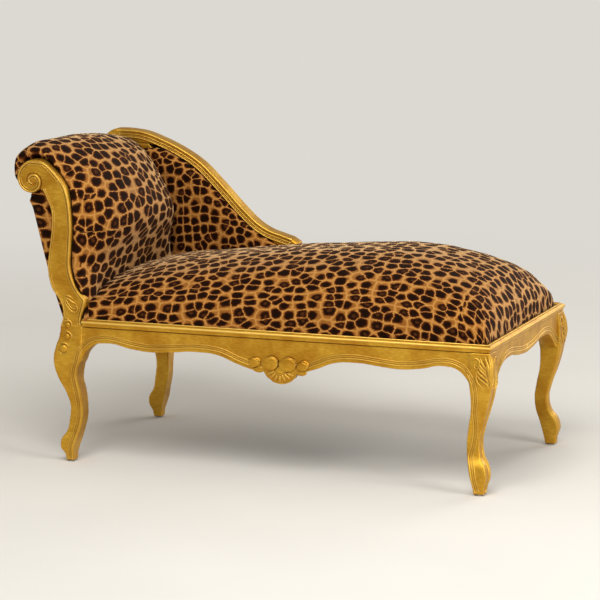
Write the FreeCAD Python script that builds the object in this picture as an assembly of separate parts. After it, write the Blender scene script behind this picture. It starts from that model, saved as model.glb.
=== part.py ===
import FreeCAD, Part
import math
import os

Vec = FreeCAD.Vector

# A chaise longue with a scrolled head, a half back and four cabriole legs.
# Millimetres. X runs from the head to the foot, Y from the front to the back, Z is up.
# The origin is on the floor, in the middle of the length and the width.

# Overall size
overall_length = 1400.0
overall_width = 722.0
head_overhang = 160.0
rail_top = 388.0
flower_shift = 15.0
fit_gap = 0.3

foot_x = overall_length / 2
head_x = -overall_length / 2 + head_overhang
half_width = overall_width / 2
flower_x = (head_x + foot_x) / 2 + flower_shift

# Seat rails and the moulding along their top edge
rail_thickness = 45.0
rail_set_in = 6.0
rail_meets_leg_z = 288.0
side_wave_z = 338.0
side_dip_z = 328.0
side_arch_z = 345.0
pendant_z = 297.0
pendant_half_width = 62.0
end_dip_z = 329.0
end_arch_z = 346.0
moulding_height = 20.0
moulding_width = 18.0
moulding_top = rail_top + moulding_height

# Legs
leg_inner_set_in = 60.0
glide_radius = 9.0
glide_height = 3.0

# Scroll posts and crest rail
post_depth = 42.0
post_set_in = 4.0
post_rise = 380.0
post_lean = 83.0
volute_radius = 58.0
volute_shrink = 0.586
volute_end_angle = 310.0
groove_width = 4.5
groove_depth = 4.0
groove_end_angle = 700.0
crest_lean = 115.0
crest_rise = 388.0
crest_drop = 312.0
crest_run = 450.0
crest_thickness = 24.0
throat_angle = 16.0
crest_bevel = 7.0
lip_width = 14.0
lip_depth = 16.0
lip_set_back = crest_bevel + 1.0
stile_width = 46.0
stile_turn = 30.0
nose_overhang = 6.0

# Inner frame
head_rail_radius = 24.0
head_rail_spigot = 14.0
spigot_length = 16.0
head_slat_thickness = 24.0
head_slat_height = 60.0
lower_slat_x = head_x + 22.0
lower_slat_z = rail_top + 67.0
middle_slat_x = head_x - 5.0
middle_slat_z = rail_top + 242.0
brace_width = 60.0
brace_thickness = 32.0
block_reach = 95.0
block_height = 36.0
block_below_top = 2.0
tenon_length = 24.0
tenon_thickness = 12.0
tenon_low_z = 318.0
tenon_high_z = 376.0
post_tenon_width = 22.0
post_tenon_depth = 28.0
post_tenon_in_x = 16.0

# Upholstery
cover_thickness = 3.0
corner_share = 0.46
chords_per_corner = 3
webbing_width = 50.0
webbing_thickness = 2.0
webbing_gap = 52.0
tack_margin = 6.0
first_back_strip = 60.0
last_seat_strip = 100.0
hessian_thickness = 1.2
dust_cover_thickness = 1.0
seat_crown = 198.0
head_pad_reach = 74.0
half_back_depth = 61.0
half_back_front_y = half_width - half_back_depth
seat_head_x = head_x + head_pad_reach + fit_gap

# Apron flower
flower_beside = 10.0
petal_radius = 19.0
petal_height = 9.0
petal_spread = 24.0
petal_rise = 26.0
bud_radius = 14.0
bud_height = 6.0
bud_spread = 69.0
shell_radius = 56.0
shell_height = 5.0
shell_backing = 20.0
lobe_taper = 0.72
lobe_edge = 0.3
lobe_sides = 16

os.makedirs("parts", exist_ok=True)


def save(name, shape):
    """Writes one piece, and stops if it isn't a sound solid."""
    if not shape.isValid() or shape.Volume <= 0:
        raise ValueError(name + " is not a valid solid")
    shape.exportStep("parts/" + name + ".step")
    print(name, "solids", len(shape.Solids), "faces", len(shape.Faces), "volume", round(shape.Volume))


def xz(points, y=0.0):
    return [Vec(x, y, z) for x, z in points]


def line(a, b):
    return Part.makeLine(a, b)


def tangents(points):
    """Directions at the points of a smooth run, by the circle through each point and its neighbours."""
    inner = []
    for before, here, after in zip(points, points[1:], points[2:]):
        arriving = here - before
        leaving = after - here
        share = leaving.Length / arriving.Length
        inner.append((arriving * share + leaving * (1 / share)).normalize())
    first = mirrored(points[1] - points[0], inner[0])
    last = mirrored(points[-1] - points[-2], inner[-1])
    return [first] + inner + [last]


def mirrored(chord, direction):
    """The direction at the other end of an arc over this chord."""
    run = Vec(chord).normalize()
    return (run * (2 * run.dot(direction)) - direction).normalize()


def tangent_arc(start, direction, end):
    chord = end - start
    run = Vec(chord).normalize()
    side = direction - run * run.dot(direction)
    if side.Length < 1e-4:
        return Part.makeLine(start, end)
    turn = math.acos(min(1.0, run.dot(direction)))
    rise = chord.Length / 2 * math.tan(turn / 2)
    return Part.Arc(start, (start + end) * 0.5 + side.normalize() * rise, end).toShape()


def curve(points):
    """A smooth run of tangent arcs through the points, two between each pair."""
    directions = tangents(points)
    edges = []
    for i in range(len(points) - 1):
        a, b = points[i], points[i + 1]
        run = b - a
        both = directions[i] + directions[i + 1]
        spread = 2 * (1 - directions[i].dot(directions[i + 1]))
        reach = run.dot(run) / (run.dot(both) + math.sqrt(run.dot(both) ** 2 + spread * run.dot(run)))
        middle = (a + directions[i] * reach + b - directions[i + 1] * reach) * 0.5
        edges.append(tangent_arc(a, directions[i], middle))
        edges.append(tangent_arc(middle, (middle - a - directions[i] * reach).normalize(), b))
    return edges


def prism(edges, direction):
    """A closed run of edges, made into a face and pushed along a direction."""
    return Part.Face(Part.Wire(edges)).extrude(direction)


def polygon_prism(points, direction):
    corners = list(points) + [points[0]]
    edges = [line(a, b) for a, b in zip(corners, corners[1:])]
    return prism(edges, direction)


def box(low, high):
    size = [b - a for a, b in zip(low, high)]
    return Part.makeBox(size[0], size[1], size[2], Vec(*low))


def box_between(a, b):
    """The box with these two opposite corners, whichever way round they are."""
    pairs = list(zip(a, b))
    return box([min(pair) for pair in pairs], [max(pair) for pair in pairs])


def mirror_y(shape):
    return shape.mirror(Vec(0, 0, 0), Vec(0, 1, 0))


def rod(start, direction, radius, length):
    return Part.makeCylinder(radius, length, start, direction)


def group(shapes):
    return Part.makeCompound(shapes)


def join(shapes):
    return shapes[0].fuse(shapes[1:]).removeSplitter().Solids[0]


def cut_all(shape, tools):
    for tool in tools:
        shape = shape.cut(tool)
    return shape.Solids[0] if len(shape.Solids) == 1 else shape


# Rounded outlines for soft forms.
# A corner is (a, b, keep_sharp) in the plane of the section.

def inset_corners(corners, inset):
    """Moves every side of a clockwise or anticlockwise outline inwards by the inset."""
    count = len(corners)
    area = sum(
        corners[i][0] * corners[(i + 1) % count][1] - corners[(i + 1) % count][0] * corners[i][1]
        for i in range(count)
    )
    turn = 1.0 if area > 0 else -1.0
    moved = []
    for i in range(count):
        before = corners[i - 1]
        here = corners[i]
        after = corners[(i + 1) % count]
        normals = []
        for a, b in ((before, here), (here, after)):
            length = math.hypot(b[0] - a[0], b[1] - a[1])
            normals.append((-(b[1] - a[1]) / length * turn, (b[0] - a[0]) / length * turn))
        share = 1 + normals[0][0] * normals[1][0] + normals[0][1] * normals[1][1]
        step_a = inset * (normals[0][0] + normals[1][0]) / share
        step_b = inset * (normals[0][1] + normals[1][1]) / share
        moved.append((here[0] + step_a, here[1] + step_b, here[2]))
    return moved


def rounded_wire(corners, place):
    """Joins the outline's sides round each corner, in short chords of the arc that touches both."""
    count = len(corners)
    flat = [Vec(a, b, 0) for a, b, _ in corners]
    outline = []
    for i, here in enumerate(flat):
        if corners[i][2]:
            outline.append(here)
            continue
        back = flat[i - 1] - here
        ahead = flat[(i + 1) % count] - here
        reach = corner_share * min(back.Length, ahead.Length)
        outline += arc_points(here + back.normalize() * reach, here, here + ahead.normalize() * reach)
    outline.append(outline[0])
    return Part.makePolygon([place(point) for point in outline])


def arc_points(start, corner, end):
    """Points on the arc that leaves start and reaches end along the corner's two sides."""
    half = (end - start).Length / 2
    middle = (start + end) * 0.5
    lean = math.acos(half / (corner - start).Length)
    rise = half * math.tan(lean / 2)
    arc = Part.Arc(start, middle + (corner - middle).normalize() * rise, end)
    return arc.discretize(chords_per_corner + 1)


def loft(wires):
    return Part.makeLoft(wires, True, True)


# Seat rails

def side_wave(half):
    """Lower edge of the apron, as distances from the flower and heights."""
    return [
        (pendant_half_width, pendant_z),
        (half * 0.20, pendant_z + 15),
        (half * 0.30, side_wave_z - 5),
        (half * 0.42, side_wave_z),
        (half * 0.54, side_wave_z - 6),
        (half * 0.64, side_dip_z),
        (half * 0.74, side_dip_z + 5),
        (half * 0.86, side_arch_z),
        (half - 35, side_arch_z - 7),
        (half - 10, side_arch_z - 30),
        (half, rail_meets_leg_z),
    ]


def side_rail_outline(y):
    """Waved apron between the inner faces of the head and the foot leg."""
    left = head_x + leg_inner_set_in
    right = foot_x - leg_inner_set_in
    lower_right = xz([(flower_x + d, z) for d, z in side_wave(right - flower_x)], y)
    lower_left = xz([(flower_x - d, z) for d, z in reversed(side_wave(flower_x - left))], y)
    top_left = Vec(left, y, rail_top)
    top_right = Vec(right, y, rail_top)
    return [
        *curve(lower_left),
        line(lower_left[-1], lower_right[0]),
        *curve(lower_right),
        line(lower_right[-1], top_right),
        line(top_right, top_left),
        line(top_left, lower_left[0]),
    ]


def side_rail():
    y = -half_width + rail_set_in
    return prism(side_rail_outline(y), Vec(0, rail_thickness, 0))


def end_rail(x):
    """Waved apron across the seat, from its outer face at x towards the middle."""
    half = half_width - leg_inner_set_in
    wave = [
        (0.0, end_dip_z),
        (half * 0.2, end_dip_z + 4),
        (half * 0.54, end_arch_z),
        (half * 0.76, end_arch_z - 9),
        (half - 27, end_arch_z - 36),
        (half, rail_meets_leg_z),
    ]
    points = [Vec(x, -d, z) for d, z in reversed(wave)] + [Vec(x, d, z) for d, z in wave[1:]]
    top_back = Vec(x, half, rail_top)
    top_front = Vec(x, -half, rail_top)
    edges = [
        *curve(points),
        line(points[-1], top_back),
        line(top_back, top_front),
        line(top_front, points[0]),
    ]
    inwards = -rail_thickness if x > 0 else rail_thickness
    return prism(edges, Vec(inwards, 0, 0))


# Cabriole legs, cut from two faces: what a side view and an end view have in common.
# A station is (height, set-in of the outer arris, set-in of the inner arris).

foot_leg_line = [
    (glide_height, 17, 46), (21, 16, 49), (50, 9, 55), (76, 14, 61), (104, 30, 68),
    (140, 36, 71), (184, 27, 66), (225, 14, 58), (273, 2, 57),
]
foot_leg_end_line = [
    (glide_height, 2, 30), (21, 0, 32), (50, -6, 38), (76, -1, 44), (104, 12, 52),
    (140, 20, 57), (184, 18, 56), (225, 8, 55), (273, 1, 57),
]
foot_leg_knee = [(313, -3), (352, -2), (388, 3)]
head_leg_line = [
    (glide_height, 0, 24), (18, -1, 24), (44, -12, 29), (63, -10, 35), (88, 5, 42),
    (123, 12, 50), (160, 15, 52), (200, 6, 50), (240, -12, 44), (268, -21, 48),
]
head_leg_knee = [(296, -23), (331, -15), (360, -5), (388, -4)]
head_leg_end_line = [
    (glide_height, 26, 56), (18, 24, 57), (44, 14, 62), (63, 14, 65), (88, 22, 68),
    (123, 26, 70), (160, 24, 68), (200, 14, 62), (240, 4, 57), (268, 0, 57),
]


def leg_outline(stations, knee, corner, side, place):
    """One face of a leg. Side is +1 where the set-in grows along the axis, else -1."""
    outer = [place(corner + side * out, z) for z, out, _ in stations]
    outer += [place(corner + side * out, z) for z, out in knee]
    inner = [place(corner + side * inn, z) for z, _, inn in stations]
    inner.append(place(corner + side * leg_inner_set_in, rail_meets_leg_z + 6))
    top = place(corner + side * leg_inner_set_in, rail_top)
    return [
        *curve(outer),
        line(outer[-1], top),
        line(top, inner[-1]),
        *curve(list(reversed(inner))),
        line(inner[0], outer[0]),
    ]


def cabriole_leg(side_line, side_knee, end_line, end_knee, corner_x, side):
    """A front leg: the side view in X and Z, the end view in Y and Z."""
    reach = 300.0
    front_y = -half_width
    side_view = leg_outline(side_line, side_knee, corner_x, side, lambda a, z: Vec(a, front_y - reach / 2, z))
    end_view = leg_outline(end_line, end_knee, front_y, 1, lambda a, z: Vec(corner_x - reach / 2, a, z))
    leg = prism(side_view, Vec(0, reach, 0)).common(prism(end_view, Vec(reach, 0, 0)))
    return leg.Solids[0]


# Mouldings

def moulding_section(place):
    """Lip with a rounded nose over a small cove. Out is measured inwards from the nose."""
    lip = 6.5
    p = [
        place(moulding_width, 0), place(rail_set_in - 1, 0), place(rail_set_in - 3.5, 1.5),
        place(rail_set_in - 2, 5), place(0, moulding_height - lip - 4),
        place(1.2, moulding_height - 3), place(6, moulding_height), place(moulding_width, moulding_height),
    ]
    nose = place(0, moulding_height - lip)
    return [
        line(p[0], p[1]),
        Part.Arc(p[1], p[2], p[3]).toShape(),
        line(p[3], p[4]),
        Part.Arc(p[4], nose, p[5]).toShape(),
        line(p[5], p[6]),
        line(p[6], p[7]),
        line(p[7], p[0]),
    ]


def corner_wedge(side, toward_foot):
    """The space on one side of the mitre at a foot corner."""
    reach = 2 * moulding_width
    corner = Vec(foot_x, side * half_width, rail_top - 1)
    off_mitre = Vec(reach, -side * reach, 0) if toward_foot else Vec(-reach, side * reach, 0)
    points = [
        corner + Vec(reach, side * reach, 0),
        corner + Vec(-reach, -side * reach, 0),
        corner + off_mitre,
    ]
    return polygon_prism(points, Vec(0, 0, moulding_height + 2))


def side_moulding(side, start_x, end_x):
    y = side * half_width
    section = moulding_section(lambda out, z: Vec(start_x, y - side * out, rail_top + z))
    return prism(section, Vec(end_x - start_x, 0, 0))


def foot_moulding():
    section = moulding_section(lambda out, z: Vec(foot_x - out, -half_width, rail_top + z))
    bar = prism(section, Vec(0, overall_width, 0))
    return cut_all(bar, [corner_wedge(-1, False), corner_wedge(1, False)])


# Volutes. Angles run anticlockwise from +X; the spiral starts at the top, at 90 degrees.

def spiral_radius(angle):
    return volute_radius * volute_shrink ** ((angle - 90.0) / 180.0)


def spiral_point(centre, angle, y, shift=0.0):
    radius = spiral_radius(angle) + shift
    turn = math.radians(angle)
    return Vec(centre[0] + radius * math.cos(turn), y, centre[1] + radius * math.sin(turn))


def spiral(centre, start, end, y, shift=0.0):
    steps = max(4, int(abs(end - start) / 30.0))
    angles = [start + (end - start) * i / steps for i in range(steps + 1)]
    return [spiral_point(centre, angle, y, shift) for angle in angles]


def volute_groove(centre, face_y, inward):
    """The cut between the turns, from the notch under the scroll to its eye."""
    start = volute_end_angle - 20
    outer = spiral(centre, start, groove_end_angle, face_y, groove_width / 2)
    inner = spiral(centre, start, groove_end_angle, face_y, -groove_width / 2)
    edges = [
        *curve(outer),
        line(outer[-1], inner[-1]),
        *curve(list(reversed(inner))),
        line(inner[0], outer[0]),
    ]
    return prism(edges, Vec(0, inward * groove_depth, 0))


# Scroll posts. Points are (distance from the frame's head plane, height over the rail top).

front_post_inner = [
    (60, 0), (59, 20), (65, 42), (72, 72), (64, 86), (48, 105), (34, 134), (27, 168),
    (29, 215), (32, 266), (30, 316), (25, 353), (15, 386), (-3, 412), (-24, 434), (-50, 453),
]
front_post_outer = [
    (-4, 0), (2, 15), (5, 34), (1, 57), (-13, 82), (-25, 97), (-36, 127), (-40, 161),
    (-35, 212), (-28, 263), (-26, 296), (-29, 323), (-40, 350), (-53, 376),
]

volute_centre = (head_x - post_lean, rail_top + 20 + post_rise)
crest_centre = (head_x - crest_lean, rail_top + 20 + crest_rise)
front_post_y = -half_width + post_set_in
back_post_y = half_width - post_set_in


def from_base(points, y):
    return [Vec(head_x + a, y, rail_top + z) for a, z in points]


def front_scroll_post():
    y = front_post_y
    inner = from_base(front_post_inner, y)
    outer = from_base(front_post_outer, y)
    curl = spiral(volute_centre, 90, volute_end_angle, y)
    edges = [
        *curve(inner + curl[:1]),
        *curve(curl),
        line(curl[-1], outer[-1]),
        *curve(list(reversed(outer))),
        line(outer[0], inner[0]),
    ]
    post = prism(edges, Vec(0, post_depth, 0))
    return post.cut(volute_groove(volute_centre, y, 1)).Solids[0]


def back_scroll_post(crest):
    """The same sweep as the front post, run on into the crest rail and its scroll."""
    y = back_post_y
    inner = from_base(front_post_inner, y)
    outer = from_base(front_post_outer, y)
    heart = Vec(crest_centre[0], y, crest_centre[1])
    edges = [
        *curve(inner),
        line(inner[-1], heart),
        line(heart, outer[-1]),
        *curve(list(reversed(outer))),
        line(outer[0], inner[0]),
    ]
    post = prism(edges, Vec(0, -post_depth, 0)).cut(crest)
    return max(post.Solids, key=lambda solid: solid.Volume)


# Crest rail: shares of its run from the head plane and of its drop from the scroll's top.

crest_line = [
    (-0.080, 0.014), (0.060, 0.076), (0.200, 0.165), (0.338, 0.287),
    (0.478, 0.477), (0.616, 0.681), (0.718, 0.814), (0.802, 0.884), (0.891, 0.925), (0.960, 0.955),
]
crest_end_x = head_x + crest_run
stile_right = crest_end_x - nose_overhang + 2
stile_left = stile_right - stile_width
crest_top = crest_centre[1] + volute_radius


def crest_upper(y):
    points = [Vec(head_x + crest_run * run, y, crest_top - crest_drop * drop) for run, drop in crest_line]
    return [Vec(crest_centre[0], y, crest_top)] + points


def crest_lower(y, below):
    """The inner edge: each point of the upper line moved square to it."""
    upper = crest_upper(y)
    lower = []
    for before, here, after in zip(upper[1:], upper[2:], upper[3:]):
        run = (after - before).normalize()
        lower.append(here + Vec(run.z, 0, -run.x) * below)
    return lower[:-1]


def crest_nose(y):
    return Vec(stile_right + nose_overhang, y, crest_upper(y)[-1].z - 2 * nose_overhang)


def crest_band(y, depth, below):
    """The rail from the top of the scroll down to the foot of the stile, without the scroll."""
    upper = crest_upper(y)
    nose = crest_nose(y)
    neck = Vec(stile_right, y, nose.z - 3 * nose_overhang)
    foot_right = Vec(stile_right, y, rail_top)
    foot_left = Vec(stile_left - (below - crest_thickness), y, rail_top)
    lower = crest_lower(y, below)
    turn = Vec(foot_left.x, y, lower[-1].z - stile_turn)
    lean = math.radians(throat_angle)
    heart = Vec(crest_centre[0], y, crest_centre[1])
    throat = heart + Vec(math.cos(lean), 0, math.sin(lean)) * volute_radius
    notch = spiral_point(crest_centre, volute_end_angle, y)
    edges = [
        *curve(upper + [nose]),
        line(nose, neck),
        line(neck, foot_right),
        line(foot_right, foot_left),
        line(foot_left, turn),
        *curve([turn] + list(reversed(lower)) + [throat]),
        line(throat, notch),
        line(notch, heart),
        line(heart, upper[0]),
    ]
    return prism(edges, Vec(0, depth, 0))


def crest_scroll(y, depth):
    curl = spiral(crest_centre, 90, volute_end_angle, y)
    heart = Vec(crest_centre[0], y, crest_centre[1])
    edges = [*curve(curl), line(curl[-1], heart), line(heart, curl[0])]
    return prism(edges, Vec(0, depth, 0))


def crest_ridges(band, outer_y):
    """The edges where the top of the rail meets its two faces."""
    top = Part.Wire(curve(crest_upper(outer_y) + [crest_nose(outer_y)]))
    ridges = []
    for edge in band.Edges:
        middle = edge.valueAt((edge.FirstParameter + edge.LastParameter) / 2)
        on_face = min(abs(middle.y - outer_y), abs(middle.y - outer_y + post_depth)) < 0.01
        over = Part.Vertex(middle.x, outer_y, middle.z)
        if on_face and top.distToShape(over)[0] < 0.01:
            ridges.append(edge)
    return ridges


def crest_rail():
    outer_y = back_post_y
    band = crest_band(outer_y, -post_depth, crest_thickness)
    band = band.makeChamfer(crest_bevel, crest_ridges(band, outer_y))
    lip = crest_band(outer_y - lip_set_back, -lip_depth, crest_thickness + lip_width)
    lip_room = box((head_x + 40, 0, moulding_top), (stile_right - 5, half_width, crest_top - crest_thickness))
    lip = lip.common(lip_room)
    crest = band.fuse([crest_scroll(outer_y, -post_depth), lip]).removeSplitter()
    crest = crest.cut(volute_groove(crest_centre, outer_y, -1))
    return crest.Solids[0]


# Carved flower on the front apron: low domes on the rail's face, with a shell that hangs below it.

def ring(x, y, z, radius):
    """A many-sided outline about a point, square to Y."""
    turns = [2 * math.pi * i / lobe_sides for i in range(lobe_sides + 1)]
    return Part.makePolygon([Vec(x + radius * math.cos(a), y, z + radius * math.sin(a)) for a in turns])


def lobe(x, z, radius, height, depth=0.0):
    """A low tapered boss on the apron's face. Depth is how far it goes on behind that face."""
    face_y = -half_width + rail_set_in
    front = ring(x, face_y - height, z, radius * lobe_taper)
    edge = ring(x, face_y - height * lobe_edge, z, radius)
    wires = [front, edge, ring(x, face_y + depth, z, radius)]
    return loft(wires)


def apron_flower(rail):
    """Two petals and two buds over a half-round shell that hangs below the apron."""
    x = flower_x + flower_beside
    z = pendant_z + petal_rise
    reach = 2 * shell_radius
    upper_half = box((x - reach, -half_width - reach, z), (x + reach, -half_width + reach, z + reach))
    shell = lobe(x, z, shell_radius, shell_height, shell_backing).cut(upper_half)
    petals = []
    for side in (-1, 1):
        petals.append(lobe(x + side * petal_spread, z, petal_radius, petal_height))
        petals.append(lobe(x + side * bud_spread, z, bud_radius, bud_height))
    return shell.fuse(petals).cut(rail).removeSplitter()


# Corners of the frame: (x, y, step into the frame along x, step along y)
corners = [
    (foot_x, -half_width, -1, 1),
    (foot_x, half_width, -1, -1),
    (head_x, -half_width, 1, 1),
    (head_x, half_width, 1, -1),
]
corner_names = ("front_foot", "back_foot", "front_head", "back_head")
rail_middle = rail_set_in + rail_thickness / 2
rail_inner = rail_set_in + rail_thickness


def at_corner(corner, in_x, in_y, z):
    x, y, step_x, step_y = corner
    return Vec(x + step_x * in_x, y + step_y * in_y, z)


def side_tenon(corner):
    """The end of a side rail, let into the leg."""
    low = at_corner(corner, leg_inner_set_in - tenon_length, rail_middle - tenon_thickness / 2, tenon_low_z)
    high = at_corner(corner, leg_inner_set_in, rail_middle + tenon_thickness / 2, tenon_high_z)
    return box_between(low, high)


def end_tenon(corner):
    low = at_corner(corner, rail_middle - tenon_thickness / 2, leg_inner_set_in - tenon_length, tenon_low_z)
    high = at_corner(corner, rail_middle + tenon_thickness / 2, leg_inner_set_in, tenon_high_z)
    return box_between(low, high)


def corner_block(corner):
    """A brace cut to fit behind the leg's inner corner, glued to both rails."""
    top = rail_top - block_below_top
    outline = [
        (leg_inner_set_in, leg_inner_set_in), (leg_inner_set_in, rail_inner),
        (rail_inner + block_reach, rail_inner), (rail_inner, rail_inner + block_reach),
        (rail_inner, leg_inner_set_in),
    ]
    points = [at_corner(corner, a, b, top - block_height) for a, b in outline]
    return polygon_prism(points, Vec(0, 0, block_height))


# Head frame between the two posts

post_inner_y = half_width - post_set_in - post_depth


def head_top_rail():
    start = Vec(volute_centre[0], -post_inner_y, volute_centre[1])
    along = Vec(0, 1, 0)
    body = rod(start, along, head_rail_radius, 2 * post_inner_y)
    spigots = rod(start - along * spigot_length, along, head_rail_spigot, 2 * (post_inner_y + spigot_length))
    return body.fuse(spigots).removeSplitter()


def head_slat(centre_x, centre_z):
    """A rail with a tenon into each post."""
    x = (centre_x - head_slat_thickness / 2, centre_x + head_slat_thickness / 2)
    z = (centre_z - head_slat_height / 2, centre_z + head_slat_height / 2)
    body = box((x[0], -post_inner_y, z[0]), (x[1], post_inner_y, z[1]))
    reach = post_inner_y + spigot_length
    half = tenon_thickness / 2
    edge = head_slat_height / 4
    tongue = box((centre_x - half, -reach, z[0] + edge), (centre_x + half, reach, z[1] - edge))
    return body.fuse(tongue).removeSplitter()


def post_tenon(x, side):
    """The square end of an upright, let into what it stands on."""
    middle = side * (half_width - post_set_in - post_depth / 2)
    half = post_tenon_width / 2
    return box((x - half, middle - half, rail_top - post_tenon_depth), (x + half, middle + half, rail_top))


def seat_brace():
    inner_y = half_width - rail_inner
    top = rail_top - block_below_top
    x = (head_x + foot_x) / 2
    return box((x - brace_width / 2, -inner_y, top - brace_thickness), (x + brace_width / 2, inner_y, top))


# Webbing and sheets

web_top = rail_top + 2 * webbing_thickness
seat_base = web_top + hessian_thickness + fit_gap
head_pad_bottom = web_top + fit_gap
seat_half_width = half_width - moulding_width - fit_gap
seat_foot_x = foot_x - moulding_width - fit_gap


def cross_webbing():
    """Strips spaced so that the stile stands in a gap between two of them."""
    pitch = webbing_width + webbing_gap
    first = (stile_left + stile_right) / 2 - 2.5 * pitch
    last = foot_x - last_seat_strip
    count = int((last - first) / pitch) + 1
    reach = half_width - moulding_width - tack_margin
    strips = []
    for i in range(count):
        x = first + i * pitch
        low = (x - webbing_width / 2, -reach, rail_top)
        strips.append(box(low, (x + webbing_width / 2, reach, rail_top + webbing_thickness)))
    return group(strips)


def long_webbing():
    pitch = webbing_width + webbing_gap
    start = head_x + rail_middle
    end = foot_x - moulding_width - tack_margin
    z = rail_top + webbing_thickness
    strips = []
    for i in (-2, -1, 0, 1, 2):
        y = i * pitch
        low = (start, y - webbing_width / 2, z)
        strips.append(box(low, (end, y + webbing_width / 2, z + webbing_thickness)))
    return group(strips)


def hessian(uprights):
    low = (seat_head_x, -seat_half_width, web_top)
    return cut_all(box(low, (seat_foot_x, seat_half_width, web_top + hessian_thickness)), uprights)


def dust_cover(legs):
    edge = rail_inner + fit_gap
    top = rail_top - block_below_top - block_height - fit_gap
    low = (head_x + edge, -half_width + edge, top - dust_cover_thickness)
    return cut_all(box(low, (foot_x - edge, half_width - edge, top)), legs)


def band_along(points, thickness, y, width):
    """A strip of even thickness that follows a bent line in X and Z."""
    face = [Vec(x, y, z) for x, z in points]
    back = []
    for i in range(len(face)):
        before = face[max(i - 1, 0)]
        after = face[min(i + 1, len(face) - 1)]
        run = (after - before).normalize()
        back.append(face[i] + Vec(run.z, 0, -run.x) * thickness)
    return polygon_prism(face + list(reversed(back)), Vec(0, width, 0))


def head_web_line():
    """From the lower slat over the middle slat to the front of the round rail."""
    half = head_slat_height / 2
    lean = math.radians(35)
    reach = head_rail_radius + 1
    top = (volute_centre[0] + reach * math.cos(lean), volute_centre[1] + reach * math.sin(lean))
    face = head_slat_thickness / 2 + 0.5
    return [
        (lower_slat_x + face, lower_slat_z - half), (lower_slat_x + face, lower_slat_z + half),
        (middle_slat_x + face, middle_slat_z - half), (middle_slat_x + face, middle_slat_z + half), top,
    ]


def half_back_outside(post, crest):
    """The outside cover, let into the back of the opening against the crest rail's lip."""
    y = half_width - post_set_in - lip_set_back + fit_gap
    edge = crest_band(y, cover_thickness, crest_thickness)
    low = (volute_centre[0], y, moulding_top + fit_gap)
    sheet = box(low, (stile_left, y + cover_thickness, crest_top))
    sheet = cut_all(sheet, [edge, post, crest])
    return max(sheet.Solids, key=lambda solid: solid.Volume)


def half_back_slat(post, crest):
    """The rail across the bottom of the half back, level with the crest rail's lip."""
    y = half_width - post_set_in - lip_set_back
    low = (head_x, y - lip_depth, lower_slat_z - head_slat_height / 2)
    bar = box(low, (stile_left, y, lower_slat_z + head_slat_height / 2)).cut(post).cut(crest)
    return max(bar.Solids, key=lambda solid: solid.BoundBox.XMax)


def half_back_webbing():
    """Upright strips between the lower rail and the crest rail's lip, as many as stand clear of the post."""
    y = half_width - post_set_in - lip_set_back - lip_depth
    room = crest_band(y, -webbing_thickness, crest_thickness + 4)
    pitch = webbing_width + webbing_gap
    post_reach = head_x + max(point[0] for point in front_post_inner)
    first = stile_left - first_back_strip
    count = int((first - webbing_width / 2 - post_reach) / pitch) + 1
    base = lower_slat_z - head_slat_height / 2 + tack_margin
    strips = []
    for i in range(count):
        x = first - i * pitch
        low = (x - webbing_width / 2, y - webbing_thickness, base)
        strip = box(low, (x + webbing_width / 2, y, crest_top)).cut(room)
        strips.append(min(strip.Solids, key=lambda solid: solid.BoundBox.ZMin))
    return group(strips)


def glides():
    """A nail-on glide under each leg, in the middle of its foot."""
    discs = []
    places = [(foot_leg_line, foot_leg_end_line)] * 2 + [(head_leg_line, head_leg_end_line)] * 2
    for corner, (side_line, end_line) in zip(corners, places):
        in_x = (side_line[0][1] + side_line[0][2]) / 2
        in_y = (end_line[0][1] + end_line[0][2]) / 2
        centre = at_corner(corner, in_x, in_y, 0)
        discs.append(rod(centre, Vec(0, 0, 1), glide_radius, glide_height))
    return group(discs)


def head_webbing():
    pitch = webbing_width + 2 * webbing_gap
    strips = [
        band_along(head_web_line(), webbing_thickness, (i - 1.5) * pitch - webbing_width / 2, webbing_width)
        for i in range(4)
    ]
    return group(strips)


# Seat cushion: a crown across the seat, lofted along it.
# A station is (share of the seat's length, how far it lies under the crown, how far the sides draw in).

seat_profile = [
    (0.0, 96, 0), (0.139, 59, 0), (0.301, 32, 0), (0.44, 14, 0), (0.58, 3, 0), (0.693, 0, 0),
    (0.78, 7, 0), (0.859, 25, 0), (0.92, 48, 0), (0.961, 74, 0), (0.986, 108, 1.5), (1.0, 148, 5),
]


def seat_stations():
    """Each station as (x, height of the crown over the moulding, draw-in)."""
    length = seat_foot_x - seat_head_x
    return [(seat_head_x + share * length, seat_crown - under, side) for share, under, side in seat_profile]


def seat_section(x, crown, draw_in):
    half = seat_half_width - draw_in
    side = [(1.0, 0.42), (0.78, 0.79), (0.35, 1.0)]
    corners = [(-half, seat_base, True)]
    corners += [(-half * across, moulding_top + crown * up, False) for across, up in side]
    corners += [(half * across, moulding_top + crown * up, False) for across, up in reversed(side)]
    corners.append((half, seat_base, True))
    return rounded_wire(corners, lambda p: Vec(x, p.x, p.y))


def seat_form():
    """The cushion, cut back where the half back stands on the frame."""
    form = loft([seat_section(*station) for station in seat_stations()])
    low = (seat_head_x - 50, half_back_front_y - fit_gap, seat_base - 1)
    high = (stile_right + 2 * fit_gap, half_width + 50, moulding_top + 2 * seat_crown)
    return form.cut(box(low, high)).Solids[0]


# Head-rest pad: its outline in X and Z, lofted from the front post to the back post.
# Points are (distance from the head plane, height over the moulding).

head_pad_line = [
    (head_pad_reach, 152), (134, 236), (104, 348), (36, 430), (-50, 476), (-118, 482),
    (-158, 445), (-166, 385), (-136, 336), (-100, 320), (-56, 120),
]
head_pad_edge = [
    (50, 110), (42, 222), (30, 340), (-2, 404), (-52, 446), (-104, 452),
    (-142, 420), (-148, 378), (-128, 342), (-92, 318), (-42, 120),
]
head_pad_outside = 4.0


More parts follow.
